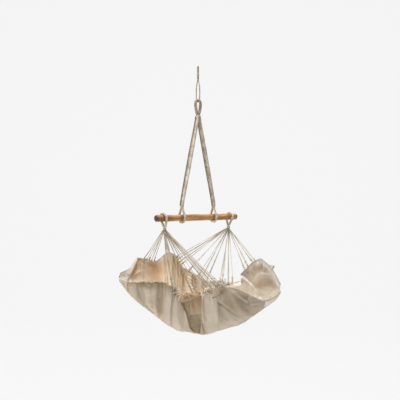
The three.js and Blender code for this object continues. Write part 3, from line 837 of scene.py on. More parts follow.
# Creases: the line as (place along, height), how far it stands out, and its reach to head and to foot
NEAR_CREASES = [
    ([(0.721, 0.995), (0.738, 0.967), (0.769, 0.911), (0.795, 0.867), (0.81, 0.844)], 0.011, 0.005, 0.009),
    ([(0.814, 0.97), (0.806, 0.91), (0.8, 0.85)], 0.008, 0.004, 0.005),
    ([(0.655, 0.83), (0.707, 0.7), (0.755, 0.556)], -0.008, 0.005, 0.006),
    ([(0.345, 0.72), (0.345, 0.64), (0.357, 0.16)], -0.008, 0.004, 0.005),
    ([(0.69, 0.97), (0.675, 0.8), (0.665, 0.6)], -0.006, 0.01, 0.014),
    ([(0.6, 0.93), (0.61, 0.7), (0.62, 0.4)], 0.004, 0.014, 0.016),
    ([(0.15, 0.8), (0.16, 0.62), (0.168, 0.5)], -0.008, 0.01, 0.01),
]
FAR_PANELS = [
    ([(0, -0.01), (1, -0.01)], 0.0, 0.0, 0.0),
    ([(0.5, 0.04), (0.778, 0.074), (0.867, 0.105), (0.944, 0.122), (1, 0.13)], -0.014, 0.008, 0.75),
    ([(0.6, 0.152), (0.83, 0.15), (1, 0.142)], -0.006, 0.006, 0.1),
    ([(0.7, 0.21), (0.95, 0.2)], 0.0, 0.003, 0.0),
    ([(0.7, 0.262), (0.93, 0.25)], -0.007, 0.006, 0.0),
    ([(0.69, 0.298), (0.92, 0.295)], -0.005, 0.006, 0.7),
    ([(0.6, 0.345), (0.95, 0.325)], -0.006, 0.006, 0.8),
    ([(0.75, 0.388), (0.86, 0.371), (0.944, 0.352)], -0.002, 0.008, 0.1),
    ([(0.6, 0.45), (0.88, 0.425)], -0.008, 0.006, 0.5),
    ([(0.6, 0.54), (0.9, 0.5)], -0.008, 0.006, 0.6),
    ([(0.6, 0.62), (0.9, 0.59)], -0.006, 0.003, 0.1),
    (
        [(0.36, 0.89), (0.478, 0.869), (0.611, 0.855), (0.733, 0.836), (0.867, 0.8), (1, 0.765)],
        -0.034, 0.006, 0.12,
    ),
    ([(0, 1.01), (1, 1.01)], 0.0, 0.0, 0.0),
]
FAR_CREASES = [
    ([(0.045, 0.8), (0.085, 0.86), (0.105, 0.93)], -0.009, 0.016, 0.006),
    ([(0.08, 0.68), (0.12, 0.76), (0.145, 0.8)], -0.011, 0.008, 0.016),
    ([(0.15, 0.64), (0.153, 0.72), (0.152, 0.8)], 0.008, 0.004, 0.004),
    ([(0.17, 0.99), (0.2, 0.93), (0.215, 0.84)], 0.008, 0.012, 0.008),
    ([(0.245, 0.7), (0.25, 0.74), (0.256, 0.77)], 0.006, 0.004, 0.005),
    ([(0.272, 0.97), (0.275, 0.8), (0.27, 0.6)], -0.006, 0.005, 0.006),
    ([(0.285, 0.97), (0.285, 0.8), (0.284, 0.6)], -0.005, 0.004, 0.005),
    ([(0.31, 0.97), (0.313, 0.8), (0.31, 0.55)], 0.007, 0.005, 0.005),
    ([(0.335, 0.96), (0.345, 0.8), (0.345, 0.5)], -0.007, 0.005, 0.006),
    ([(0.36, 0.95), (0.375, 0.8), (0.39, 0.6)], 0.007, 0.006, 0.006),
    ([(0.4, 0.85), (0.43, 0.8), (0.45, 0.7)], -0.004, 0.008, 0.008),
    ([(0.47, 0.87), (0.5, 0.8), (0.54, 0.7)], -0.004, 0.008, 0.008),
    ([(0.56, 0.97), (0.57, 0.88), (0.6, 0.7)], 0.007, 0.01, 0.01),
    ([(0.67, 0.99), (0.7, 0.9), (0.72, 0.8)], 0.006, 0.01, 0.014),
    ([(0.845, 0.785), (0.871, 0.803), (0.9, 0.833), (0.917, 0.846), (0.932, 0.93)], -0.011, 0.004, 0.018),
    ([(0.853, 0.69), (0.883, 0.589), (0.926, 0.556), (0.995, 0.62)], 0.016, 0.008, 0.02),
    ([(0.805, 0.99), (0.81, 0.94), (0.825, 0.88)], 0.009, 0.005, 0.005),
    ([(0.826, 0.99), (0.831, 0.92), (0.845, 0.84)], -0.01, 0.005, 0.005),
    ([(0.845, 0.99), (0.85, 0.92), (0.862, 0.86)], 0.01, 0.005, 0.005),
    ([(0.865, 0.99), (0.868, 0.93), (0.876, 0.86)], -0.01, 0.005, 0.005),
    ([(0.885, 0.99), (0.885, 0.93), (0.89, 0.87)], 0.01, 0.005, 0.005),
    ([(0.897, 0.97), (0.895, 0.91), (0.895, 0.845)], -0.014, 0.004, 0.005),
]
# Warm stains, and warm painted shade in hollows and under bulges: place along, height up the wall, reach of
# both and strength
NEAR_STAINS_AND_SHADE = [
    (0.5, 0.86, 0.055, 0.15, 1.3), (0.28, 0.6, 0.03, 0.4, 0.2), (0.06, 0.6, 0.05, 0.6, 0.2),
]
FAR_STAINS_AND_SHADE = [
    (0.192, 0.95, 0.013, 0.035, 1.3), (0.178, 0.925, 0.008, 0.02, 0.8),
    (0.14, 0.96, 0.008, 0.04, 0.8), (0.13, 0.88, 0.006, 0.05, 1.0), (0.1, 0.75, 0.006, 0.06, 0.9),
    (0.11, 0.8, 0.03, 0.1, 0.9), (0.19, 0.85, 0.08, 0.3, 0.3), (0.3, 0.8, 0.08, 0.3, 0.15),
    (0.24, 0.99, 0.04, 0.04, -0.4), (0.3, 0.93, 0.03, 0.06, 0.8), (0.35, 0.88, 0.035, 0.14, 1.1),
    (0.225, 0.8, 0.06, 0.16, 0.6), (0.93, 0.68, 0.04, 0.1, 0.15), (0.42, 0.93, 0.06, 0.08, 0.5),
    (0.6, 0.95, 0.04, 0.06, 0.9), (0.885, 0.665, 0.03, 0.06, 0.8),
]
# Painted shade in spots, taken away where the strength is below 0: place along, height up the wall, reach of
# both and strength
NEAR_SHADES = [
    (0.5, 0.35, 0.04, 0.2, 0.7), (0.62, 0.42, 0.05, 0.18, 0.4), (0.745, 0.75, 0.05, 0.12, 0.35),
    (0.38, 0.75, 0.03, 0.2, 0.25), (0.21, 0.8, 0.02, 0.2, 0.2), (0.738, 0.967, 0.01, 0.03, -0.7),
    (0.769, 0.911, 0.012, 0.03, -0.7), (0.795, 0.867, 0.012, 0.03, -0.7),
    (0.775, 0.985, 0.03, 0.03, -0.8), (0.562, 0.42, 0.006, 0.12, 1.0),
    (0.558, 0.28, 0.014, 0.12, 1.3), (0.185, 0.93, 0.035, 0.06, 0.5),
]
FAR_SHADES = [
    (0.105, 0.85, 0.004, 0.03, 2.0), (0.118, 0.9, 0.003, 0.04, 1.5),
    (0.126, 0.84, 0.003, 0.05, 1.2), (0.14, 0.87, 0.003, 0.06, 1.2),
    (0.155, 0.95, 0.003, 0.03, 1.0), (0.205, 0.9, 0.003, 0.02, 0.9), (0.36, 0.92, 0.03, 0.06, 0.6),
    (0.86, 0.9, 0.05, 0.07, 1.5), (0.873, 0.98, 0.02, 0.035, -1.4), (0.787, 0.94, 0.02, 0.06, -0.9),
    (0.92, 0.7, 0.05, 0.08, 0.9), (0.75, 0.96, 0.03, 0.03, 0.6), (0.93, 0.78, 0.03, 0.06, 0.6),
    (0.45, 0.95, 0.05, 0.04, 0.4), (0.6, 0.97, 0.03, 0.03, 0.8),
]
# Pale border inside the foot's outer corner, painted light: place along, and the height it starts at
FOOT_BORDER = [(0.86, 0.97), (0.9, 0.93), (0.93, 0.91), (0.95, 0.88), (0.975, 0.8), (1, 0.62)]
# The near wall's outside is pale from here to the foot: painted light
PALE_FOOT = 0.885, 0.5
# Length of the cloth and height of each wall, laid flat, as the creases' reaches are measured on them
NEAR_WALL = 1.05, 0.33
FAR_WALL = 1.25, 0.36
# Painted shade: how much the table of panels gives way low near the foot and high at the warm middle
LOW_UNSHADED_SHARE = 0.5
WARM_UNSHADED_SHARE = 0.75
# Painted shade under the drawn near rim and how far along it goes, and the even painted shade of the pale
# foot
UNDER_RIM_SHADE = 1.4
DRAWN_STRETCH = 0.13, 0.34
PALE_FOOT_SHADE = 0.3
# The far wall has no painted shade from its panels up to here, on the head's lip
FAR_SHADE_FROM = 0.08
# The lip's second fold: place along, its half width and the height it starts at
LIP_FOLD = 0.785, 0.02, 0.87
# The inside is pale from here to the foot, up to this height: painted light
PALE_INSIDE = 0.8, 0.64
# Quads along the sling, and up each of its walls
COLUMNS = 420
WALL_ROWS = 90


def cloth_curve(shares, count):
    scale = np.array([CLOTH_WIDTH / 2, CLOTH_LENGTH / 2, -CLOTH_DEPTH])
    return smooth_curve(np.array(shares) * scale + [0, 0, BAR_HEIGHT], count)


def fold_out(folds, along, up):
    """How far the main folds push a wall outwards."""
    out = 0 * along
    for at_rim, at_keel, half, depth in folds:
        reach = np.clip((along - (at_keel + (at_rim - at_keel) * up)) / half, -1, 1)
        out = out + depth * FOLD_DEPTH * np.cos(reach * math.pi / 2) ** 2
    return out * np.sin(math.pi * 0.88 * up) ** 0.7


def panel_stand(panels, along, up):
    """How far each panel stands out and how much painted shade it has, between its own crease and the next
    one.
    """
    lines = [np.interp(up, *np.transpose(line)) for line, *_ in panels]
    out = 0 * along
    painted_shade = 0 * along
    for start, end, this, after in zip(lines, lines[1:], panels, panels[1:]):
        share = (along - start) / np.maximum(end - start, 1e-4)
        inside = (share >= 0) & (share < 1)
        out = np.where(inside, this[2] + (after[1] - this[2]) * share, out)
        painted_shade = np.where(inside, this[3], painted_shade)
    return softened(out, 1), softened(painted_shade, 8)


def softened(values, passes):
    """The values averaged a little with their neighbours along the sling."""
    for _ in range(passes):
        padded = np.pad(values, ((1, 1), (0, 0)), mode="edge")
        values = (padded[:-2] + 2 * values + padded[2:]) / 4
    return values


def crease_out(creases, along, up, length, height):
    """Sharp creases and soft ridges, each along its own line on the wall."""
    x, y = along * length, up * height
    out = 0 * along
    for line, depth, head_reach, foot_reach in creases:
        corners = np.array(line) * [length, height]
        run = np.linalg.norm(np.diff(corners, axis=0), axis=1)
        best = np.full(along.shape, 1e9)
        share = 0 * along
        towards_foot = np.zeros(along.shape, bool)
        passed = 0.0
        for start, end, span in zip(corners, corners[1:], run):
            way = (end - start) / span
            at = np.clip((x - start[0]) * way[0] + (y - start[1]) * way[1], 0, span)
            away_x, away_y = x - start[0] - at * way[0], y - start[1] - at * way[1]
            away = np.hypot(away_x, away_y)
            nearer = away < best
            best = np.where(nearer, away, best)
            share = np.where(nearer, (passed + at) / run.sum(), share)
            turned = away_x * way[1] - away_y * way[0]
            towards_foot = np.where(nearer, turned * np.sign(way[1] + 1e-9) > 0, towards_foot)
            passed += span
        reach = best / np.where(towards_foot, foot_reach, head_reach)
        ends = np.sin(math.pi * np.clip(share, 0.03, 0.97)) ** 0.6
        out = out + depth * ends * np.exp(-(reach**1.3))
    return out


def spots(table, along, up):
    """Soft spots on the cloth."""
    share = 0 * along
    for at_along, at_up, reach_along, reach_up, strength in table:
        away = ((along - at_along) / reach_along) ** 2 + ((up - at_up) / reach_up) ** 2
        share = share + strength * np.exp(-away)
    return share


def waves(x, y, seed, scale, octaves=2):
    """Smooth irregular ripples, the same on every run."""
    random = np.random.default_rng(seed)
    out = 0 * x
    for octave in range(octaves):
        for _ in range(5):
            turn = random.uniform(0, math.tau)
            pitch = scale / 1.9**octave * random.uniform(0.7, 1.4)
            phase = random.uniform(0, math.tau)
            course = x * math.cos(turn) + y * math.sin(turn)
            out = out + np.sin(course * math.tau / pitch + phase) / 1.8**octave
    return out / 5


def waves_along(run, seed, scale):
    return waves(run, 0 * run, seed, scale)


def foot_border(along, up):
    return (along > FOOT_BORDER[0][0]) & (up > np.interp(along, *np.transpose(FOOT_BORDER)))


def pale_foot(along, up):
    return (along > PALE_FOOT[0]) & (up > PALE_FOOT[1])


# The cloth laid flat, in metres: its run from head to foot, each wall's rise, and the reach under a rim
CLOTH_RUN = 1.1
WALL_RISE = 0.34
WALL_REACH = 0.33
# Long gathers are this many times as wide and as deep as the fine ones
LONG_GATHER_WIDTH_SHARE = 3.3
LONG_GATHER_DEPTH_SHARE = 1.6
# Where under a rim the gathers and rolls fade away, and where they have fully begun
FINE_GATHER_FADE = 0.035, 0.003
LONG_GATHER_FADE = 0.09, 0.02
ROLL_FADE = 0.05, 0.008
RUMPLE_BEGIN = 0.03
# How far a gather strays from its even place
GATHER_STRAY = 0.012
# Soft rumples all over
RUMPLE_DEPTH = 0.0035
FINE_RUMPLE_DEPTH = 0.0012


class Sling:
    """The sling's outer face as a grid of places, from the near rim (first row) to the far rim."""

    def __init__(self):
        columns, rows = COLUMNS + 1, 2 * WALL_ROWS + 1
        near = cloth_curve(NEAR_RIM_SHARES, columns)[:, None, :]
        far = cloth_curve(FAR_RIM_SHARES, columns)[:, None, :]
        keel = cloth_curve(KEEL_SHARES, columns)[:, None, :]
        self.along = np.broadcast_to(np.linspace(0, 1, columns)[:, None], (columns, rows))
        across = np.broadcast_to(np.linspace(0, 1, rows)[None, :], (columns, rows))
        self.is_near = across < 0.5
        self.up = np.abs(2 * across - 1)
        rim = np.where(self.is_near[..., None], near, far)
        out_share = np.sin(self.up * math.pi / 2)[..., None]
        up_share = (1 - np.cos(self.up * math.pi / 2))[..., None]
        place = keel + (rim - keel) * np.concatenate([out_share, out_share, up_share], axis=-1)
        span = (near - far) * [1, 1, 0]
        width = np.linalg.norm(span, axis=-1, keepdims=True)
        outward = np.where(self.is_near[..., None], 1, -1) * span / np.maximum(width, 1e-9)
        near_stand, near_shade = panel_stand(NEAR_PANELS, self.along, self.up)
        far_stand, far_shade = panel_stand(FAR_PANELS, self.along, self.up)
        self.painted_shade = self.shade_of(near_shade, far_shade)
        ends = np.minimum(1, (1 - self.up) / 0.05) ** 0.7 * np.minimum(1, self.up / 0.45)
        near_folds = self.folded(NEAR_FOLD_SHARES, NEAR_CREASES, NEAR_WALL) + near_stand * ends
        far_folds = self.folded(FAR_FOLD_SHARES, FAR_CREASES, FAR_WALL) + far_stand * ends
        folds = np.where(self.is_near, near_folds, far_folds)
        fade = np.minimum(1, width / (CLOTH_WIDTH / 2))[..., 0]
        self.places = place + outward * (folds * fade)[..., None]
        self.rows = rows

    def folded(self, folds, creases, wall):
        return fold_out(folds, self.along, self.up) + crease_out(creases, self.along, self.up, *wall)

    def shade_of(self, near_panels, far_panels):
        """How much painted shade the cloth has, from its panels and the spots on them."""
        along, up = self.along, self.up
        low = np.exp(-(((along - 0.71) / 0.08) ** 2)) * falls(up, 0.47, 0.06)
        warm = np.exp(-(((along - 0.495) / 0.062) ** 4)) * rises(up, 0.69, 0.02)
        less_shaded = (1 - LOW_UNSHADED_SHARE * low) * (1 - WARM_UNSHADED_SHARE * warm)
        stretch = (along > DRAWN_STRETCH[0]) & (along < DRAWN_STRETCH[1])
        drawn = stretch * np.exp(-(((1 - up) / 0.13) ** 2))
        near = np.maximum(near_panels * less_shaded, UNDER_RIM_SHADE * drawn) + spots(NEAR_SHADES, along, up)
        near = np.where(pale_foot(along, up), PALE_FOOT_SHADE, near)
        far = far_panels * (along > FAR_SHADE_FROM) + spots(FAR_SHADES, along, up)
        far = far * ~foot_border(along, up)
        return np.maximum(0, np.where(self.is_near, near, far))

    def outward(self):
        """Unit directions out of the sling."""
        along = np.gradient(self.places, axis=0)
        across = np.gradient(self.places, axis=1)
        directions = unit(np.cross(along, across))
        down = directions[len(directions) // 2, self.rows // 2, 2] < 0
        return directions if down else -directions

    def push(self, out):
        self.places = self.places + self.outward() * out[..., None]


def make_sling(look):
    sling = Sling()
    run = sling.along * CLOTH_RUN
    rise = np.where(sling.is_near, -1, 1) * sling.up * WALL_RISE
    draw_up(sling, run, rise, look)
    inner = sling.places - sling.outward() * look.cloth_thickness
    corners, front, back, edge = closed_sheet(sling.places, inner)
    faces = np.vstack([front, back, edge])
    materials = [
        # The inside is drawn paler than the outside of the same canvas, and the foot paler still: painted
        # light
        canvas("canvas", look.cloth_pale, look.cloth_deep, look.cloth_stain_and_shade, look.cloth_shade),
        canvas("canvas_inside_lit", look.inside_pale, look.inside_deep, look.inside_stain_and_shade, look.inside_shade),
        canvas("canvas_lip", look.lip_pale, look.lip_deep, look.inside_stain_and_shade, look.inside_shade),
        canvas("canvas_foot_lit", look.foot_pale, look.foot_deep, look.inside_stain_and_shade, look.inside_shade),
    ]
    piece = make_piece(
        "sling_cloth", corners, faces.tolist(), materials, "cradle", "canvas", ["cradle_cloth"]
    )
    slots = np.zeros(len(faces), int)
    slots[: len(front)] = outside_slots(sling)
    slots[len(front) : 2 * len(front)] = inside_slots(sling)
    piece.data.polygons.foreach_set("material_index", slots)
    near_stain_and_shade = spots(NEAR_STAINS_AND_SHADE, sling.along, sling.up)
    far_stain_and_shade = spots(FAR_STAINS_AND_SHADE, sling.along, sling.up)
    stain_and_shade = np.clip(np.where(sling.is_near, near_stain_and_shade, far_stain_and_shade), 0, 1).reshape(-1)
    set_attribute(piece, "stain_and_shade", np.tile(stain_and_shade, 2))
    set_attribute(piece, "painted_shade", np.tile(sling.painted_shade.reshape(-1), 2))
    lay_weave(piece, np.stack([run, rise], axis=-1).reshape(-1, 2))
    hems = make_hems(look, sling)


def under_rim(distance, end, begin):
    """A share that begins just under a rim and fades away down the wall."""
    return np.exp(-distance / end) * np.minimum(1, distance / begin)


def draw_up(sling, run, rise, look):
    """The gathers, rolls and rumples of the cloth, pushed out one after another."""
    rim_distance = (1 - sling.up) * WALL_REACH
    gathered = gather_share(sling)
    stray = GATHER_STRAY * waves_along(run, 3, 0.12)
    ripple = np.sin((run + stray) * math.tau / look.gather_pitch + 1.5 * waves(run, rise, 5, 0.2))
    end, begin = FINE_GATHER_FADE
    depth = look.gather_depth * np.exp(-rim_distance / end) * (1 - np.exp(-rim_distance / begin))
    sling.push(gathered * depth * ripple)
    long_course = (run + 2 * stray) * math.tau / (LONG_GATHER_WIDTH_SHARE * look.gather_pitch)
    long_ripple = np.sin(long_course + 2 * waves(run, rise, 9, 0.25))
    depth = LONG_GATHER_DEPTH_SHARE * look.gather_depth * under_rim(rim_distance, *LONG_GATHER_FADE)
    sling.push(gathered * depth * long_ripple)
    rolled = np.where(sling.is_near, 0, rises(sling.along, 0.33, 0.02) * falls(sling.along, 0.62, 0.03))
    roll = np.sin(rim_distance * math.tau / look.roll_pitch + 1.4 * waves(run, rise, 15, 0.09))
    sling.push(rolled * look.roll_depth * under_rim(rim_distance, *ROLL_FADE) * roll)
    calm = np.minimum(1, rim_distance / RUMPLE_BEGIN)
    sling.push(calm * RUMPLE_DEPTH * waves(run, rise, 11, 0.16, octaves=3))
    sling.push(calm * FINE_RUMPLE_DEPTH * waves(run * 1.6, rise, 12, 0.05))


def lay_weave(piece, flat):
    """A map of the cloth laid flat, in metres, for its weave."""
    loops = np.zeros(len(piece.data.loops), int)
    piece.data.loops.foreach_get("vertex_index", loops)
    uv = piece.data.uv_layers.new(name="cloth")
    uv.data.foreach_set("uv", flat[loops % len(flat)].reshape(-1))


def gather_share(sling):
    """Where the hems are drawn up on their cord: 1 where fully gathered."""
    along = sling.along
    near = falls(along, 0.72, 0.02) * rises(along, 0.07, 0.02)
    far = falls(along, 0.68, 0.03) * (0.35 + 0.65 * rises(along, 0.25, 0.03)) * rises(along, 0.1, 0.03)
    return np.where(sling.is_near, near, far)


def outside_slots(sling):
    """The outer face's materials: 0, and 3 on the near wall's pale foot, which is painted light."""
    return np.where(sling.is_near & pale_foot(sling.along, sling.up), 3, 0)[:-1, :-1].reshape(-1)


def inside_slots(sling):
    """The inner face's materials: 1, painted lighter than the outside; 2 on the lip rolled over at the head;
    3, painted lighter still, low at the foot and on its pale border.
    """
    far_edge = np.interp(sling.up, *np.transpose(FAR_PANELS[1][0]))
    near_edge = np.interp(sling.up, *np.transpose(NEAR_PANELS[1][0]))
    lip = sling.along < np.where(sling.is_near, near_edge, far_edge)
    fold, half, height = LIP_FOLD
    lip |= (np.abs(sling.along - fold) < half) & (sling.up > height)
    foot = (sling.along > PALE_INSIDE[0]) & (sling.up < PALE_INSIDE[1])
    foot |= ~sling.is_near & foot_border(sling.along, sling.up)
    return np.where(lip, 2, np.where(foot, 3, 1))[:-1, :-1].reshape(-1)


def closed_sheet(outer, inner):
    """Corners of a sheet's two faces, and the quads of its outer face, its inner face and its edge."""
    columns, rows = outer.shape[:2]
    index = np.arange(columns * rows).reshape(columns, rows)
    skin = columns * rows
    a, b, c, d = index[:-1, :-1], index[1:, :-1], index[1:, 1:], index[:-1, 1:]
    front = np.stack([a, b, c, d], axis=-1).reshape(-1, 4)
    back = front[:, ::-1] + skin
    loop = np.concatenate([index[:, 0], index[-1, 1:], index[-2::-1, -1], index[0, -2:0:-1]])
    after = np.roll(loop, -1)
    edge = np.stack([loop, loop + skin, after + skin, after], axis=-1)
    corners = np.vstack([outer.reshape(-1, 3), inner.reshape(-1, 3)])
    p, q, r, _ = corners[front[len(front) // 2]]
    away = (outer - inner).reshape(-1, 3)[front[len(front) // 2][0]]
    if np.cross(q - p, r - p) @ away < 0:
        front, back, edge = front[:, ::-1], back[:, ::-1], edge[:, ::-1]
    return corners, front, back, edge


# The bare tab on the foot's rim: its two ends by column, and how it stands up from there
TAB_COLUMNS = 384, 394
TAB_RISE = (0.008, -0.0075, 0.021)
TAB_CURL = 0.002
# The tab and its folded end: start and end along it, and thickness
TAB_CLOTH = 0, 0.84, 0.0012
TAB_FOLD = 0.84, 1, 0.0026
# Hems: each follows a stretch of one rim, from one place along the sling to another
HEMS = [
    ("left_edge", 0, 0, 0.75, "left_edge_hem"),
    ("foot", 0, 0.75, 1, "foot_hem"),
    ("head", -1, 0, 0.35, "head_hem"),
    ("right_edge", -1, 0.35, 1, "right_edge_hem"),
]
# Headings of pleated cloth above the hems: start, end, height, pleat pitch, lean outwards
HEADINGS = {
    "left_edge": [
        (0.343, 0.42, 0.016, 0.009, 0.3),
        (0.415, 0.553, 0.04, 0.017, 0.22),
        (0.545, 0.7, 0.026, 0.013, -0.1),
    ],
    "head": [(0.265, 0.35, 0.009, 0.008, -0.3)],
    "right_edge": [(0.35, 0.56, 0.009, 0.009, -0.4), (0.555, 0.67, 0.006, 0.01, -0.1)],
}
# Whip stitches and lacing on the near hem, each from one place along to another
STITCHED = 0.079, 0.345
STITCH_SEED = 5
LACED = 0.345, 0.425
# The lacing's rounds: pitch, reach and seed
LACING_ROUNDS = {"pale": (0.021, 0.012, 3), "dark": (0.027, 0.011, 8), "loose": (0.046, 0.017, 14)}
# The tangle of loose ends above the near hem, by colour and seed
TANGLED = 0.56, 0.71
TANGLE_SEEDS = {"dark": 17, "pale": 23}
# Lacing on the far hem
FAR_LACED = 0.36, 0.68
FAR_LACING_ROUND = 0.024, 0.006, 4


def hem_piece(name, mesh, material, nodes=()):
    return make_piece(name, *mesh, [material], "cradle", "hem_cloth", list(nodes))


def make_hems(look, sling):
    material = canvas("hem_cloth", look.hem_pale, look.hem_deep, look.cloth_stain_and_shade, look.cloth_shade)
    # The headings' painted shade, in the folds between their pleats, takes the tangle's deep colour
    drawn = canvas("hem_heading", look.heading_pale, look.heading_deep, look.cloth_stain_and_shade, look.tangle_deep)
    clean = canvas("hem_clean", look.lip_pale, look.lip_deep, look.cloth_stain_and_shade, look.cloth_shade)
    thread = cotton("hem_thread", look.thread_pale, look.thread_deep, FINE_FIBRE)
    lace = cotton("hem_lace", look.foot_pale, look.hem_pale, FINE_FIBRE)
    curl = cotton("hem_tangle", look.tangle_pale, look.tangle_deep, FINE_FIBRE)
    pieces = []
    for name, row, start, end, node in HEMS:
        path, up, out = rim_stretch(sling, row, start, end)
        first = round(start * COLUMNS)
        gathered = gather_share(sling)[first : first + len(path), row]
        dress = material if name in ("left_edge", "foot") else clean
        pieces.append(hem_piece(name + "_band", hem_band(path, up, out, gathered, look), dress, [node]))
        if name in HEADINGS:
            pieces.append(hem_heading(name, sling, row, first, drawn))
        if name == "left_edge":
            pieces += near_hem_dress(sling, look, thread, lace, curl)
        if name == "right_edge":
            pieces += rim_tab(look, sling, drawn)
            lacing = hem_lacing(*rim_stretch(sling, row, *FAR_LACED), *FAR_LACING_ROUND)
            pieces.append(hem_piece(name + "_lacing", lacing, lace))
    return pieces


def hem_heading(name, sling, row, first, material):
    """The pleated headings of one hem, as one piece."""
    parts, creases = [], []
    for start, end, height, pitch, lean in HEADINGS[name]:
        stretch = rim_stretch(sling, row, start, end)
        *part, crease_shade = heading(*stretch, height, pitch, lean, len(parts) + first)
        parts.append(part)
        creases.append(crease_shade)
    strip = hem_piece(name + "_heading", joined(parts), material)
    set_attribute(strip, "painted_shade", np.concatenate(creases))
    return strip


def near_hem_dress(sling, look, thread, lace, curl):
    """Stitches, lacing, tangle and loose end of the near hem."""
    stitches = hem_stitches(*rim_stretch(sling, 0, *STITCHED), look.stitch_pitch, STITCH_SEED)
    pieces = [hem_piece("left_edge_stitches", joined(stitches), thread)]
    for kind, turns in LACING_ROUNDS.items():
        lacing = hem_lacing(*rim_stretch(sling, 0, *LACED), *turns)
        pieces.append(hem_piece("left_edge_lacing_" + kind, lacing, lace if kind == "pale" else thread))
    for kind, seed in TANGLE_SEEDS.items():
        tangle = rim_tangle(*rim_stretch(sling, 0, *TANGLED), seed)
        pieces.append(hem_piece("left_edge_tangle_" + kind, tangle, lace if kind == "pale" else curl))
    hanging = tube(hanging_end(sling), LOOSE_END_RADIUS, 10, DRAW_CORD_LAY)
    return pieces + [hem_piece("left_edge_cord_end", hanging, thread)]


# A hem's middle line lies this far above its rim and inside it
HEM_LIFT = 0.0015
HEM_INSET = 0.0012


def rim_stretch(sling, row, start, end):
    """The middle line of a hem, the way up past the rim and the way out of the sling."""
    stretch = slice(round(start * COLUMNS), round(end * COLUMNS) + 1)
    rim = sling.places[stretch, row]
    run = unit(np.gradient(rim, axis=0))
    out = sling.outward()[stretch, row] * [1, 1, 0]
    out = unit(out - run * (out * run).sum(axis=1, keepdims=True))
    up = np.cross(run, out)
    up = up * np.sign(up[:, 2:])
    return rim + up * HEM_LIFT - out * HEM_INSET, up, out


def finer(count, *rows):
    """Rows of places drawn out to a number of steps for each that they had."""
    old = np.arange(len(rows[0]))
    new = np.linspace(0, len(old) - 1, (len(old) - 1) * count + 1)
    return [np.column_stack([np.interp(new, old, row[:, k]) for k in range(row.shape[1])]) for row in rows]


# A hem's band: half its height, half its thickness, and how far ribs and rumples change both
HEM_REACH = 0.0038
HEM_THICK = 0.0022
HEM_RIB_SHARE = 0.3
HEM_RUMPLE_SHARE = 0.12
HEM_SIDES = 16


def hem_band(path, up, out, gathered, look):
    """A rolled hem, ribbed where it is drawn up."""
    path, up, out, gathered = finer(3, path, up, out, gathered[:, None])
    along = length_along(path)
    rib = np.sin(along * math.tau / look.gather_pitch + 1.2 * waves_along(along, 21, 0.05))
    ribbed = 1 + HEM_RIB_SHARE * gathered * rib[:, None]
    grow = ribbed * (1 + HEM_RUMPLE_SHARE * waves_along(along, 23, 0.07))[:, None]
    thick = HEM_THICK * (1 + 0.35 * gathered) * grow
    corners = rings_round(path, HEM_REACH * grow * up, thick * out, HEM_SIDES)
    return corners, tube_faces(len(path), HEM_SIDES)


# How thick the cloth of a heading is
HEADING_THICKNESS = 0.0009


def heading(path, up, out, height, pitch, lean, seed):
    """A strip of cloth that stands up from a drawn hem in uneven pleats."""
    path, up, out = finer(4, path, up, out)
    along = length_along(path)
    rows = np.linspace(0, 1, 9)
    ends = np.sin(math.pi * np.clip(along / along[-1], 0, 1)) ** 0.4
    tall = height * (0.25 + 0.75 * ends) * (1 + 0.12 * waves_along(along, seed, 0.03))
    phase = along * math.tau / pitch + waves_along(along, seed + 1, 0.045)
    deep = 0.36 * pitch * (1 + 0.4 * waves_along(along, seed + 2, 0.02))
    sway = (0.35 + 0.65 * rows)[None, :] * (deep * np.sin(phase))[:, None]
    bow = lean * tall[:, None] * np.sin(rows * math.pi / 2)[None, :] + sway
    rise = tall[:, None] * (rows * math.sqrt(1 - lean * lean) - 0.1)[None, :]
    sheet = path[:, None, :] + up[:, None, :] * rise[..., None] + out[:, None, :] * bow[..., None]
    slope = np.gradient(sway, axis=0) / np.gradient(along)[:, None]
    run = unit(np.gradient(path, axis=0))
    normal = unit(out[:, None, :] - run[:, None, :] * slope[..., None])
    corners, front, back, edge = closed_sheet(sheet, sheet - normal * HEADING_THICKNESS)
    # Painted shade in the folds between the pleats, fading upwards
    crease_shade = np.clip(0.2 - 1.4 * np.sin(phase), 0, 1)[:, None] * (1 - 0.5 * rows)[None, :]
    return corners, np.vstack([front, back, edge]).tolist(), np.tile(crease_shade.reshape(-1), 2)


# Whip stitches: reach, shift, slant and thickness of each, from least to most
STITCH_REACH = 0.0035, 0.006
STITCH_SHIFT = -0.004, 0
STITCH_SLANT = 0.003, 0.009
STITCH_RADIUS = 0.001, 0.0016
STITCH_OUT = 0.0048


def hem_stitches(path, up, out, pitch, seed):
    """Uneven whip stitches over a drawn-up hem."""
    random = np.random.default_rng(seed)
    along = length_along(path)
    parts = []
    at = 0.0
    while at < along[-1]:
        i = min(np.searchsorted(along, at), len(path) - 2)
        run = unit(path[i + 1] - path[i])
        turn = np.linspace(-0.6, math.pi + 0.3, 12)
        loop = (
            path[i]
            + np.outer(np.cos(turn) * random.uniform(*STITCH_REACH) + random.uniform(*STITCH_SHIFT), up[i])
            + np.outer(np.sin(turn) * STITCH_OUT, out[i])
            + np.outer(np.cos(turn) * random.uniform(*STITCH_SLANT), run)
        )
        parts.append(tube(loop, random.uniform(*STITCH_RADIUS), 6))
        at += pitch * random.uniform(0.5, 1.8)
    return parts


LACE_RADIUS = 0.0016
LACE_LIFT = 0.004


def hem_lacing(path, up, out, pitch, reach, seed):
    """The draw cord wound over a hem in loose loops."""
    path, up, out = finer(6, path, up, out)
    along = length_along(path)
    turn = along * math.tau / pitch + 2.2 * waves_along(along, seed, 0.09)
    wide = reach * (1 + 0.35 * waves_along(along, seed + 1, 0.05))
    rise = np.cos(turn) * wide + LACE_LIFT
    coil = path + up * rise[:, None] + out * (np.sin(turn) * 0.8 * wide)[:, None]
    return tube(coil[::2], LACE_RADIUS, 7)


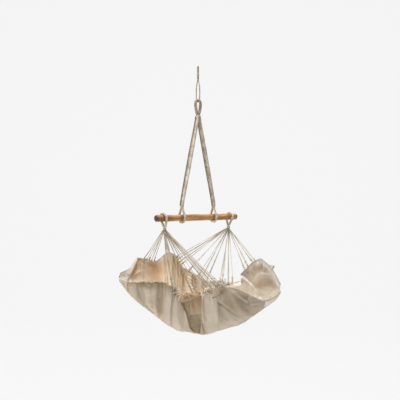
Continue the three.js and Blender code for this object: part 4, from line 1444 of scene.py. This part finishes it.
def rim_tab(look, sling, border):
    """A small bare tab that stands up from the rim at the foot, with a darker folded end."""
    cloth = canvas("tab_cloth", look.foot_pale, look.foot_deep, look.cloth_stain_and_shade, look.cloth_shade)
    pieces = []
    parts = (("rim_tab", cloth, *TAB_CLOTH), ("rim_tab_fold", border, *TAB_FOLD))
    for name, dress, start, end, thickness in parts:
        share = np.linspace(start, end, 9)[:, None, None]
        lift = np.linspace(-0.2, 1, 13)[None, :, None]
        foot = sling.places[TAB_COLUMNS[0], -1] * (1 - share) + sling.places[TAB_COLUMNS[1], -1] * share
        curl = TAB_CURL * np.sin(lift * math.pi) * sling.outward()[TAB_COLUMNS[0], -1]
        outer = foot + lift * (0.2 + 0.8 * share) * np.array(TAB_RISE) + curl
        away = unit(np.cross(outer[-1, 0] - outer[0, 0], TAB_RISE))
        corners, *faces = closed_sheet(outer + away * thickness / 2, outer - away * thickness / 2)
        piece = hem_piece(name, (corners, np.vstack(faces).tolist()), dress)
        # The folded end takes full painted shade, which makes it darker; the rest takes none
        set_attribute(piece, "painted_shade", np.full(len(corners), 1.0 if dress is border else 0.0))
        pieces.append(piece)
    return pieces


# The draw cord's loose end: places along the sling and up its near wall, and how far out it hangs
LOOSE_END = [(0.7, 0.985), (0.69, 0.965), (0.681, 0.922), (0.655, 0.918), (0.633, 0.933)]
LOOSE_END_OUT = 0.011
LOOSE_END_RADIUS = 0.003


def hanging_end(sling):
    """The draw cord's loose end, which hangs in a bend outside the hem."""
    places = []
    for along, up in LOOSE_END:
        at = round(along * COLUMNS), round((1 - up) * WALL_ROWS)
        places.append(sling.places[at] + sling.outward()[at] * LOOSE_END_OUT)
    return smooth_curve(places, 40)


# Curls of the tangle: turns, reach, drift, rise, bow and thickness of each, from least to most
CURL_TURNS = 1.2, 2.4
CURL_REACH = 0.005, 0.009
CURL_DRIFT = 0.015, 0.05
CURL_RISE = 0.002, 0.024
CURL_BOW = 0.004, 0.009
CURL_RADIUS = 0.0012, 0.0019


def rim_tangle(path, up, out, seed):
    """Loose ends of the draw cord, curled in a tangle above the hem."""
    random = np.random.default_rng(seed)
    along = length_along(path)
    parts = []
    for start in np.arange(0.02, 0.9, 0.045):
        first = min(np.searchsorted(along, start * along[-1]), len(path) - 2)
        run = unit(path[first + 1] - path[first])
        turns = random.uniform(*CURL_TURNS)
        turn = np.linspace(0, turns * math.tau, round(turns * 18))
        curl = random.uniform(*CURL_REACH)
        drift = random.uniform(*CURL_DRIFT)
        rise = random.uniform(*CURL_RISE)
        share = turn / turn[-1]
        knot = (
            path[first]
            + np.outer(rise + curl * np.sin(turn), up[first])
            + np.outer(curl * np.cos(turn) + drift * share, run)
            + np.outer(random.uniform(*CURL_BOW) * np.sin(turn * 0.5) - 0.004, out[first])
        )
        parts.append(tube(knot, random.uniform(*CURL_RADIUS), 7))
    return joined(parts)


# Stage: the backdrop's reach behind the cradle, in front of it, across and up, and its bend
BACKDROP_BEHIND = 4.0
BACKDROP_BEFORE = 9.0
BACKDROP_WIDTH = 24.0
BACKDROP_HEIGHT = 9.0
BACKDROP_BEND = 1.6
# Share of the backdrop's own light where the camera sees it
BACKDROP_GLOW = 0.95
LAMP_SIZE = 1.6
LAMP_AIM = (0, 0, -1.05)


def make_stage(look):
    make_backdrop(look)
    world = bpy.data.worlds.new("studio")
    world.use_nodes = True
    nodes = world.node_tree.nodes
    nodes["Background"].inputs["Color"].default_value = rgba(look.sky)
    nodes["Background"].inputs["Strength"].default_value = look.sky_strength
    bpy.context.scene.world = world
    make_lamp("key_lamp", (-0.1, 0.0, 2.5), look.key_energy)
    make_lamp("side_lamp", (-3.2, 1.9, -0.3), look.fill_energy)
    bpy.context.scene.view_settings.view_transform = "Standard"


def backdrop_paper(look):
    """Even paper: the camera sees its own light, and the pieces get what the lamps leave on it."""
    recipe = Recipe("backdrop")
    ray = recipe.add("ShaderNodeLightPath")
    seen = recipe.math("MAXIMUM", ray.outputs["Is Camera Ray"], ray.outputs["Is Glossy Ray"])
    seen = recipe.math("MAXIMUM", seen, ray.outputs["Is Transmission Ray"])
    recipe.set("Base Color", rgba(look.backdrop))
    recipe.set("Roughness", 1.0)
    glow = recipe.add("ShaderNodeEmission", Color=rgba(look.backdrop), Strength=1.0)
    share = recipe.times(seen, BACKDROP_GLOW)
    both = recipe.add("ShaderNodeMixShader")
    recipe.feed(both, "0", share)
    recipe.feed(both, "1", recipe.shader.outputs[0])
    recipe.feed(both, "2", glow.outputs[0])
    recipe.tree.links.new(both.outputs[0], recipe.tree.nodes["Material Output"].inputs["Surface"])
    return recipe.material


def make_backdrop(look):
    """A floor that bends up into a wall behind the cradle."""
    bend = BACKDROP_BEND
    profile = [(-BACKDROP_BEFORE, 0.0), (BACKDROP_BEHIND, 0.0)]
    turns = np.linspace(0, math.pi / 2, 17)
    profile += [(BACKDROP_BEHIND + math.sin(t) * bend, bend - math.cos(t) * bend) for t in turns[1:]]
    profile += [(BACKDROP_BEHIND + bend, BACKDROP_HEIGHT)]
    heading = Vector((look.view_x, look.view_y, 0)).normalized()
    half_side = Vector((-heading.y, heading.x, 0)) * (BACKDROP_WIDTH / 2)
    corners = []
    for away, height in profile:
        middle_place = heading * away + Vector((0, 0, look.floor_height + height))
        corners += [middle_place - half_side, middle_place + half_side]
    faces = [(2 * k, 2 * k + 1, 2 * k + 3, 2 * k + 2) for k in range(len(profile) - 1)]
    mesh = bpy.data.meshes.new("backdrop")
    mesh.from_pydata([tuple(corner) for corner in corners], [], faces)
    mesh.shade_smooth()
    mesh.materials.append(backdrop_paper(look))
    backdrop = bpy.data.objects.new("backdrop", mesh)
    bpy.context.scene.collection.objects.link(backdrop)


def make_lamp(name, where, energy):
    lamp = bpy.data.lights.new(name, "AREA")
    lamp.shape = "SQUARE"
    lamp.size = LAMP_SIZE
    lamp.energy = energy
    light = bpy.data.objects.new(name, lamp)
    light.location = where
    aim = Vector(LAMP_AIM) - Vector(where)
    light.rotation_euler = aim.to_track_quat("-Z", "Y").to_euler()
    bpy.context.scene.collection.objects.link(light)


def place_camera(look):
    camera = bpy.data.cameras.new("camera")
    camera.lens = look.lens
    camera.sensor_width = 36.0
    camera.shift_x = look.shift_x
    camera.shift_y = look.shift_y
    seat = bpy.data.objects.new("camera", camera)
    heading = Vector((look.view_x, look.view_y, 0)).normalized()
    seat.location = -heading * look.camera_distance + Vector((0, 0, look.camera_height))
    seat.rotation_euler = heading.to_track_quat("-Z", "Y").to_euler()
    bpy.context.scene.collection.objects.link(seat)
    bpy.context.scene.camera = seat


# Settings that a user would change
def linear(value):
    """A colour's share of light from its 8-bit display value."""
    share = value / 255
    return ((share + 0.055) / 1.055) ** 2.4 if value > 10 else share / 12.92


def colour(name, description, *display):
    start = [linear(value) for value in display]
    return bpy.props.FloatVectorProperty(
        name=name, description=description, subtype="COLOR", size=3, min=0, max=1, default=start
    )


def height(name, description, default):
    return bpy.props.FloatProperty(name=name, description=description, default=default, unit="LENGTH")


def length(name, description, default):
    return bpy.props.FloatProperty(name=name, description=description, default=default, min=0, unit="LENGTH")


def number(name, description, default):
    return bpy.props.FloatProperty(name=name, description=description, default=default)


class CordageLook(bpy.types.PropertyGroup):
    """Colours of the cord, rope and loops."""

    cord_pale: colour("Cord, pale", "Hanging cord where it is clean", 205, 190, 160)
    cord_deep: colour("Cord, deep", "Hanging cord in its stains", 160, 143, 115)
    rope_pale: colour("Rope, pale", "Leg ropes where they are clean", 230, 221, 205)
    rope_deep: colour("Rope, deep", "Leg ropes in their stains", 186, 168, 146)
    # Painted shade: the rope eye's deep colour
    rope_shaded: colour("Rope, dirt", "Leg ropes where they are dirty", 152, 134, 112)
    # Painted shade on one side of the back leg ropes
    rope_side_shade: colour("Rope, soil", "Leg ropes where they are darkest", 120, 106, 88)
    loop_pale: colour("Loops, pale", "Loops round the bar where they are clean", 224, 212, 190)
    loop_deep: colour("Loops, deep", "Loops round the bar in their stains", 186, 170, 146)
    fan_pale: colour("Fan cord, pale", "Thin cords where they are clean", 230, 223, 206)
    sleeve_deep: colour("Cord sleeves, deep", "Cloth drawn up round the cords", 186, 166, 134)
    fan_deep: colour("Fan cord, deep", "Thin cords in their stains", 206, 195, 171)
    # Painted shade on cords that hang in shadow, partly also their own stains
    fan_dark: colour("Fan cord, dark", "Thin cords that are dark with handling", 184, 171, 146)


class BarLook(bpy.types.PropertyGroup):
    """Colours of the spreader bar."""

    wood_pale: colour("Wood, pale", "Pale streaks", 214, 166, 108)
    wood_deep: colour("Wood, deep", "Deep streaks", 152, 108, 62)
    wood_red: colour("Wood, red", "Reddish patches", 166, 114, 70)
    # Dark ends and knots, and also the colour of the painted shadows beside the rope loops
    wood_dark_and_shadow: colour("Wood, ends", "Dark ends and knots", 72, 55, 32)


class SlingLook(bpy.types.PropertyGroup):
    """Sizes and colours of the sling and its hems."""

    cloth_thickness: length("Cloth thickness", "Thickness of the canvas", 0.0012)
    cloth_cut_length: length("Cut length", "Length that the canvas was cut to", 1.1)
    gather_pitch: length("Gather pitch", "Distance from one gather to the next", 0.009)
    gather_depth: length("Gather depth", "How far a gather stands out", 0.0022)
    roll_pitch: length("Roll pitch", "Distance between the rolls along the far rim", 0.012)
    roll_depth: length("Roll depth", "How far these rolls stand out", 0.0048)
    stitch_pitch: length("Stitch pitch", "Distance from one hem stitch to the next", 0.007)
    cloth_pale: colour("Canvas, pale", "Outside of the canvas where it is clean", 218, 204, 187)
    cloth_deep: colour("Canvas, deep", "Outside of the canvas in its mottling", 200, 183, 160)
    # Warm stains and warm painted shade outside
    cloth_stain_and_shade: colour("Canvas, stain", "Warm stains outside", 190, 156, 114)
    # Inside: paler than the outside of the same canvas, as painted light
    inside_pale: colour("Inside, pale", "Inside of the canvas where it is clean", 248, 240, 227)
    inside_deep: colour("Inside, deep", "Inside of the canvas in its mottling", 238, 225, 206)
    # Warm stains and warm painted shade inside
    inside_stain_and_shade: colour("Inside, stain", "Warm stains inside", 212, 172, 118)
    # Foot: paler still, as painted light; the lace and the rim tab take these colours too
    foot_pale: colour("Foot, pale", "Inside low at the foot where it is clean", 254, 250, 240)
    foot_deep: colour("Foot, deep", "Inside low at the foot in its mottling", 246, 240, 224)
    lip_pale: colour("Lip, pale", "Rolled lip at the head where it is clean", 223, 216, 208)
    lip_deep: colour("Lip, deep", "Rolled lip at the head in its mottling", 209, 199, 188)
    # Painted shade, outside and inside: the colours that the painted-shade attribute mixes in
    cloth_shade: colour("Canvas, grime", "Grey-brown grime outside", 163, 146, 116)
    inside_shade: colour("Inside, grime", "Brown grime inside", 196, 176, 148)
    hem_pale: colour("Hem, pale", "Hem where it is clean", 226, 212, 190)
    hem_deep: colour("Hem, deep", "Hem in its mottling", 190, 172, 144)
    heading_pale: colour("Heading, pale", "Pleated heading where it is clean", 232, 204, 168)
    heading_deep: colour("Heading, deep", "Pleated heading in its mottling", 206, 174, 134)
    tangle_pale: colour("Tangle, pale", "Curled draw cord where it is clean", 200, 166, 128)
    # Also the colour of the painted shade in the headings' pleats
    tangle_deep: colour("Tangle, deep", "Curled draw cord in its stains", 138, 106, 76)
    thread_pale: colour("Thread, pale", "Hem thread where it is clean", 184, 162, 130)
    thread_deep: colour("Thread, deep", "Hem thread in its stains", 132, 108, 80)


class StageLook(bpy.types.PropertyGroup):
    """Camera, lamps and backdrop."""

    lens: number("Lens", "Focal length in millimetres", 58.2)
    shift_x: number("Shift across", "Camera shift across the picture", 0.005)
    shift_y: number("Shift up", "Camera shift up the picture", 0.00375)
    view_x: number("View, x", "Share of the view direction along the bar", 0.682)
    view_y: number("View, y", "Share of the view direction along the sling", 0.7314)
    camera_distance: length("Camera distance", "From the camera to the hanging line", 3.3)
    camera_height: height("Camera height", "Height of the camera against the hook", -0.694)
    floor_height: height("Floor height", "Height of the floor against the hook", -2.0)
    backdrop: colour("Backdrop", "Floor and wall", 247, 247, 247)
    sky: colour("Sky", "Even light from all sides", 250, 250, 255)
    sky_strength: number("Sky strength", "Strength of the even light", 0.42)
    key_energy: number("Key lamp", "Power of the key lamp in watts", 165.0)
    fill_energy: number("Fill lamp", "Power of the fill lamp in watts", 36.0)


# Operators: one for each group of pieces and one for the stage
class CRADLE_OT_hanging_cord(bpy.types.Operator):
    """Make the hanging cord with its small loop, knot and long loop"""

    bl_idname = "cradle.hanging_cord"
    bl_label = "Hanging cord"

    def execute(self, context):
        make_hanging_cord(context.scene.cradle_cordage)
        return {"FINISHED"}


class CRADLE_OT_ropes(bpy.types.Operator):
    """Make the rope eye, the four leg ropes and their whippings"""

    bl_idname = "cradle.ropes"
    bl_label = "Rope eye and legs"

    def execute(self, context):
        make_ropes(context.scene.cradle_cordage)
        return {"FINISHED"}


class CRADLE_OT_bar(bpy.types.Operator):
    """Make the wooden spreader bar"""

    bl_idname = "cradle.bar"
    bl_label = "Spreader bar"

    def execute(self, context):
        make_bar(context.scene.cradle_bar)
        return {"FINISHED"}


class CRADLE_OT_bar_loops(bpy.types.Operator):
    """Make the four loops round the bar and the two gathering knots"""

    bl_idname = "cradle.bar_loops"
    bl_label = "Loops and gathering knots"

    def execute(self, context):
        make_bar_loops(context.scene.cradle_cordage)
        return {"FINISHED"}


class CRADLE_OT_fans(bpy.types.Operator):
    """Make the two fans of thin cord"""

    bl_idname = "cradle.fans"
    bl_label = "Fans of cord"

    def execute(self, context):
        make_fans(context.scene.cradle_cordage)
        return {"FINISHED"}


class CRADLE_OT_sling(bpy.types.Operator):
    """Make the canvas sling and its hems"""

    bl_idname = "cradle.sling"
    bl_label = "Canvas sling and hems"

    def execute(self, context):
        make_sling(context.scene.cradle_sling)
        return {"FINISHED"}


class CRADLE_OT_stage(bpy.types.Operator):
    """Make the camera, the lamps and the backdrop"""

    bl_idname = "cradle.stage"
    bl_label = "Stage"

    def execute(self, context):
        place_camera(context.scene.cradle_stage)
        make_stage(context.scene.cradle_stage)
        return {"FINISHED"}


OPERATORS = (
    CRADLE_OT_stage,
    CRADLE_OT_hanging_cord,
    CRADLE_OT_ropes,
    CRADLE_OT_bar,
    CRADLE_OT_bar_loops,
    CRADLE_OT_fans,
    CRADLE_OT_sling,
)
LOOKS = (
    ("cradle_cordage", CordageLook),
    ("cradle_bar", BarLook),
    ("cradle_sling", SlingLook),
    ("cradle_stage", StageLook),
)


class CRADLE_PT_panel(bpy.types.Panel):
    """Steps and settings of the cradle"""

    bl_idname = "CRADLE_PT_panel"
    bl_label = "Hanging baby cradle"
    bl_space_type = "VIEW_3D"
    bl_region_type = "UI"
    bl_category = "Cradle"

    def draw(self, context):
        for operator in OPERATORS:
            self.layout.operator(operator.bl_idname)
        for name, look in LOOKS:
            section = self.layout.box()
            for setting in look.__annotations__:
                section.prop(getattr(context.scene, name), setting)


def register():
    for _, look in LOOKS:
        bpy.utils.register_class(look)
    for operator in OPERATORS:
        bpy.utils.register_class(operator)
    bpy.utils.register_class(CRADLE_PT_panel)
    for name, look in LOOKS:
        setattr(bpy.types.Scene, name, bpy.props.PointerProperty(type=look))


def unregister():
    for name, _ in LOOKS:
        delattr(bpy.types.Scene, name)
    bpy.utils.unregister_class(CRADLE_PT_panel)
    for operator in reversed(OPERATORS):
        bpy.utils.unregister_class(operator)
    for _, look in reversed(LOOKS):
        bpy.utils.unregister_class(look)


def main():
    register()
    bpy.ops.cradle.stage()
    bpy.ops.cradle.hanging_cord()
    bpy.ops.cradle.ropes()
    bpy.ops.cradle.bar()
    bpy.ops.cradle.bar_loops()
    bpy.ops.cradle.fans()
    bpy.ops.cradle.sling()


if __name__ == "__main__":
    main()
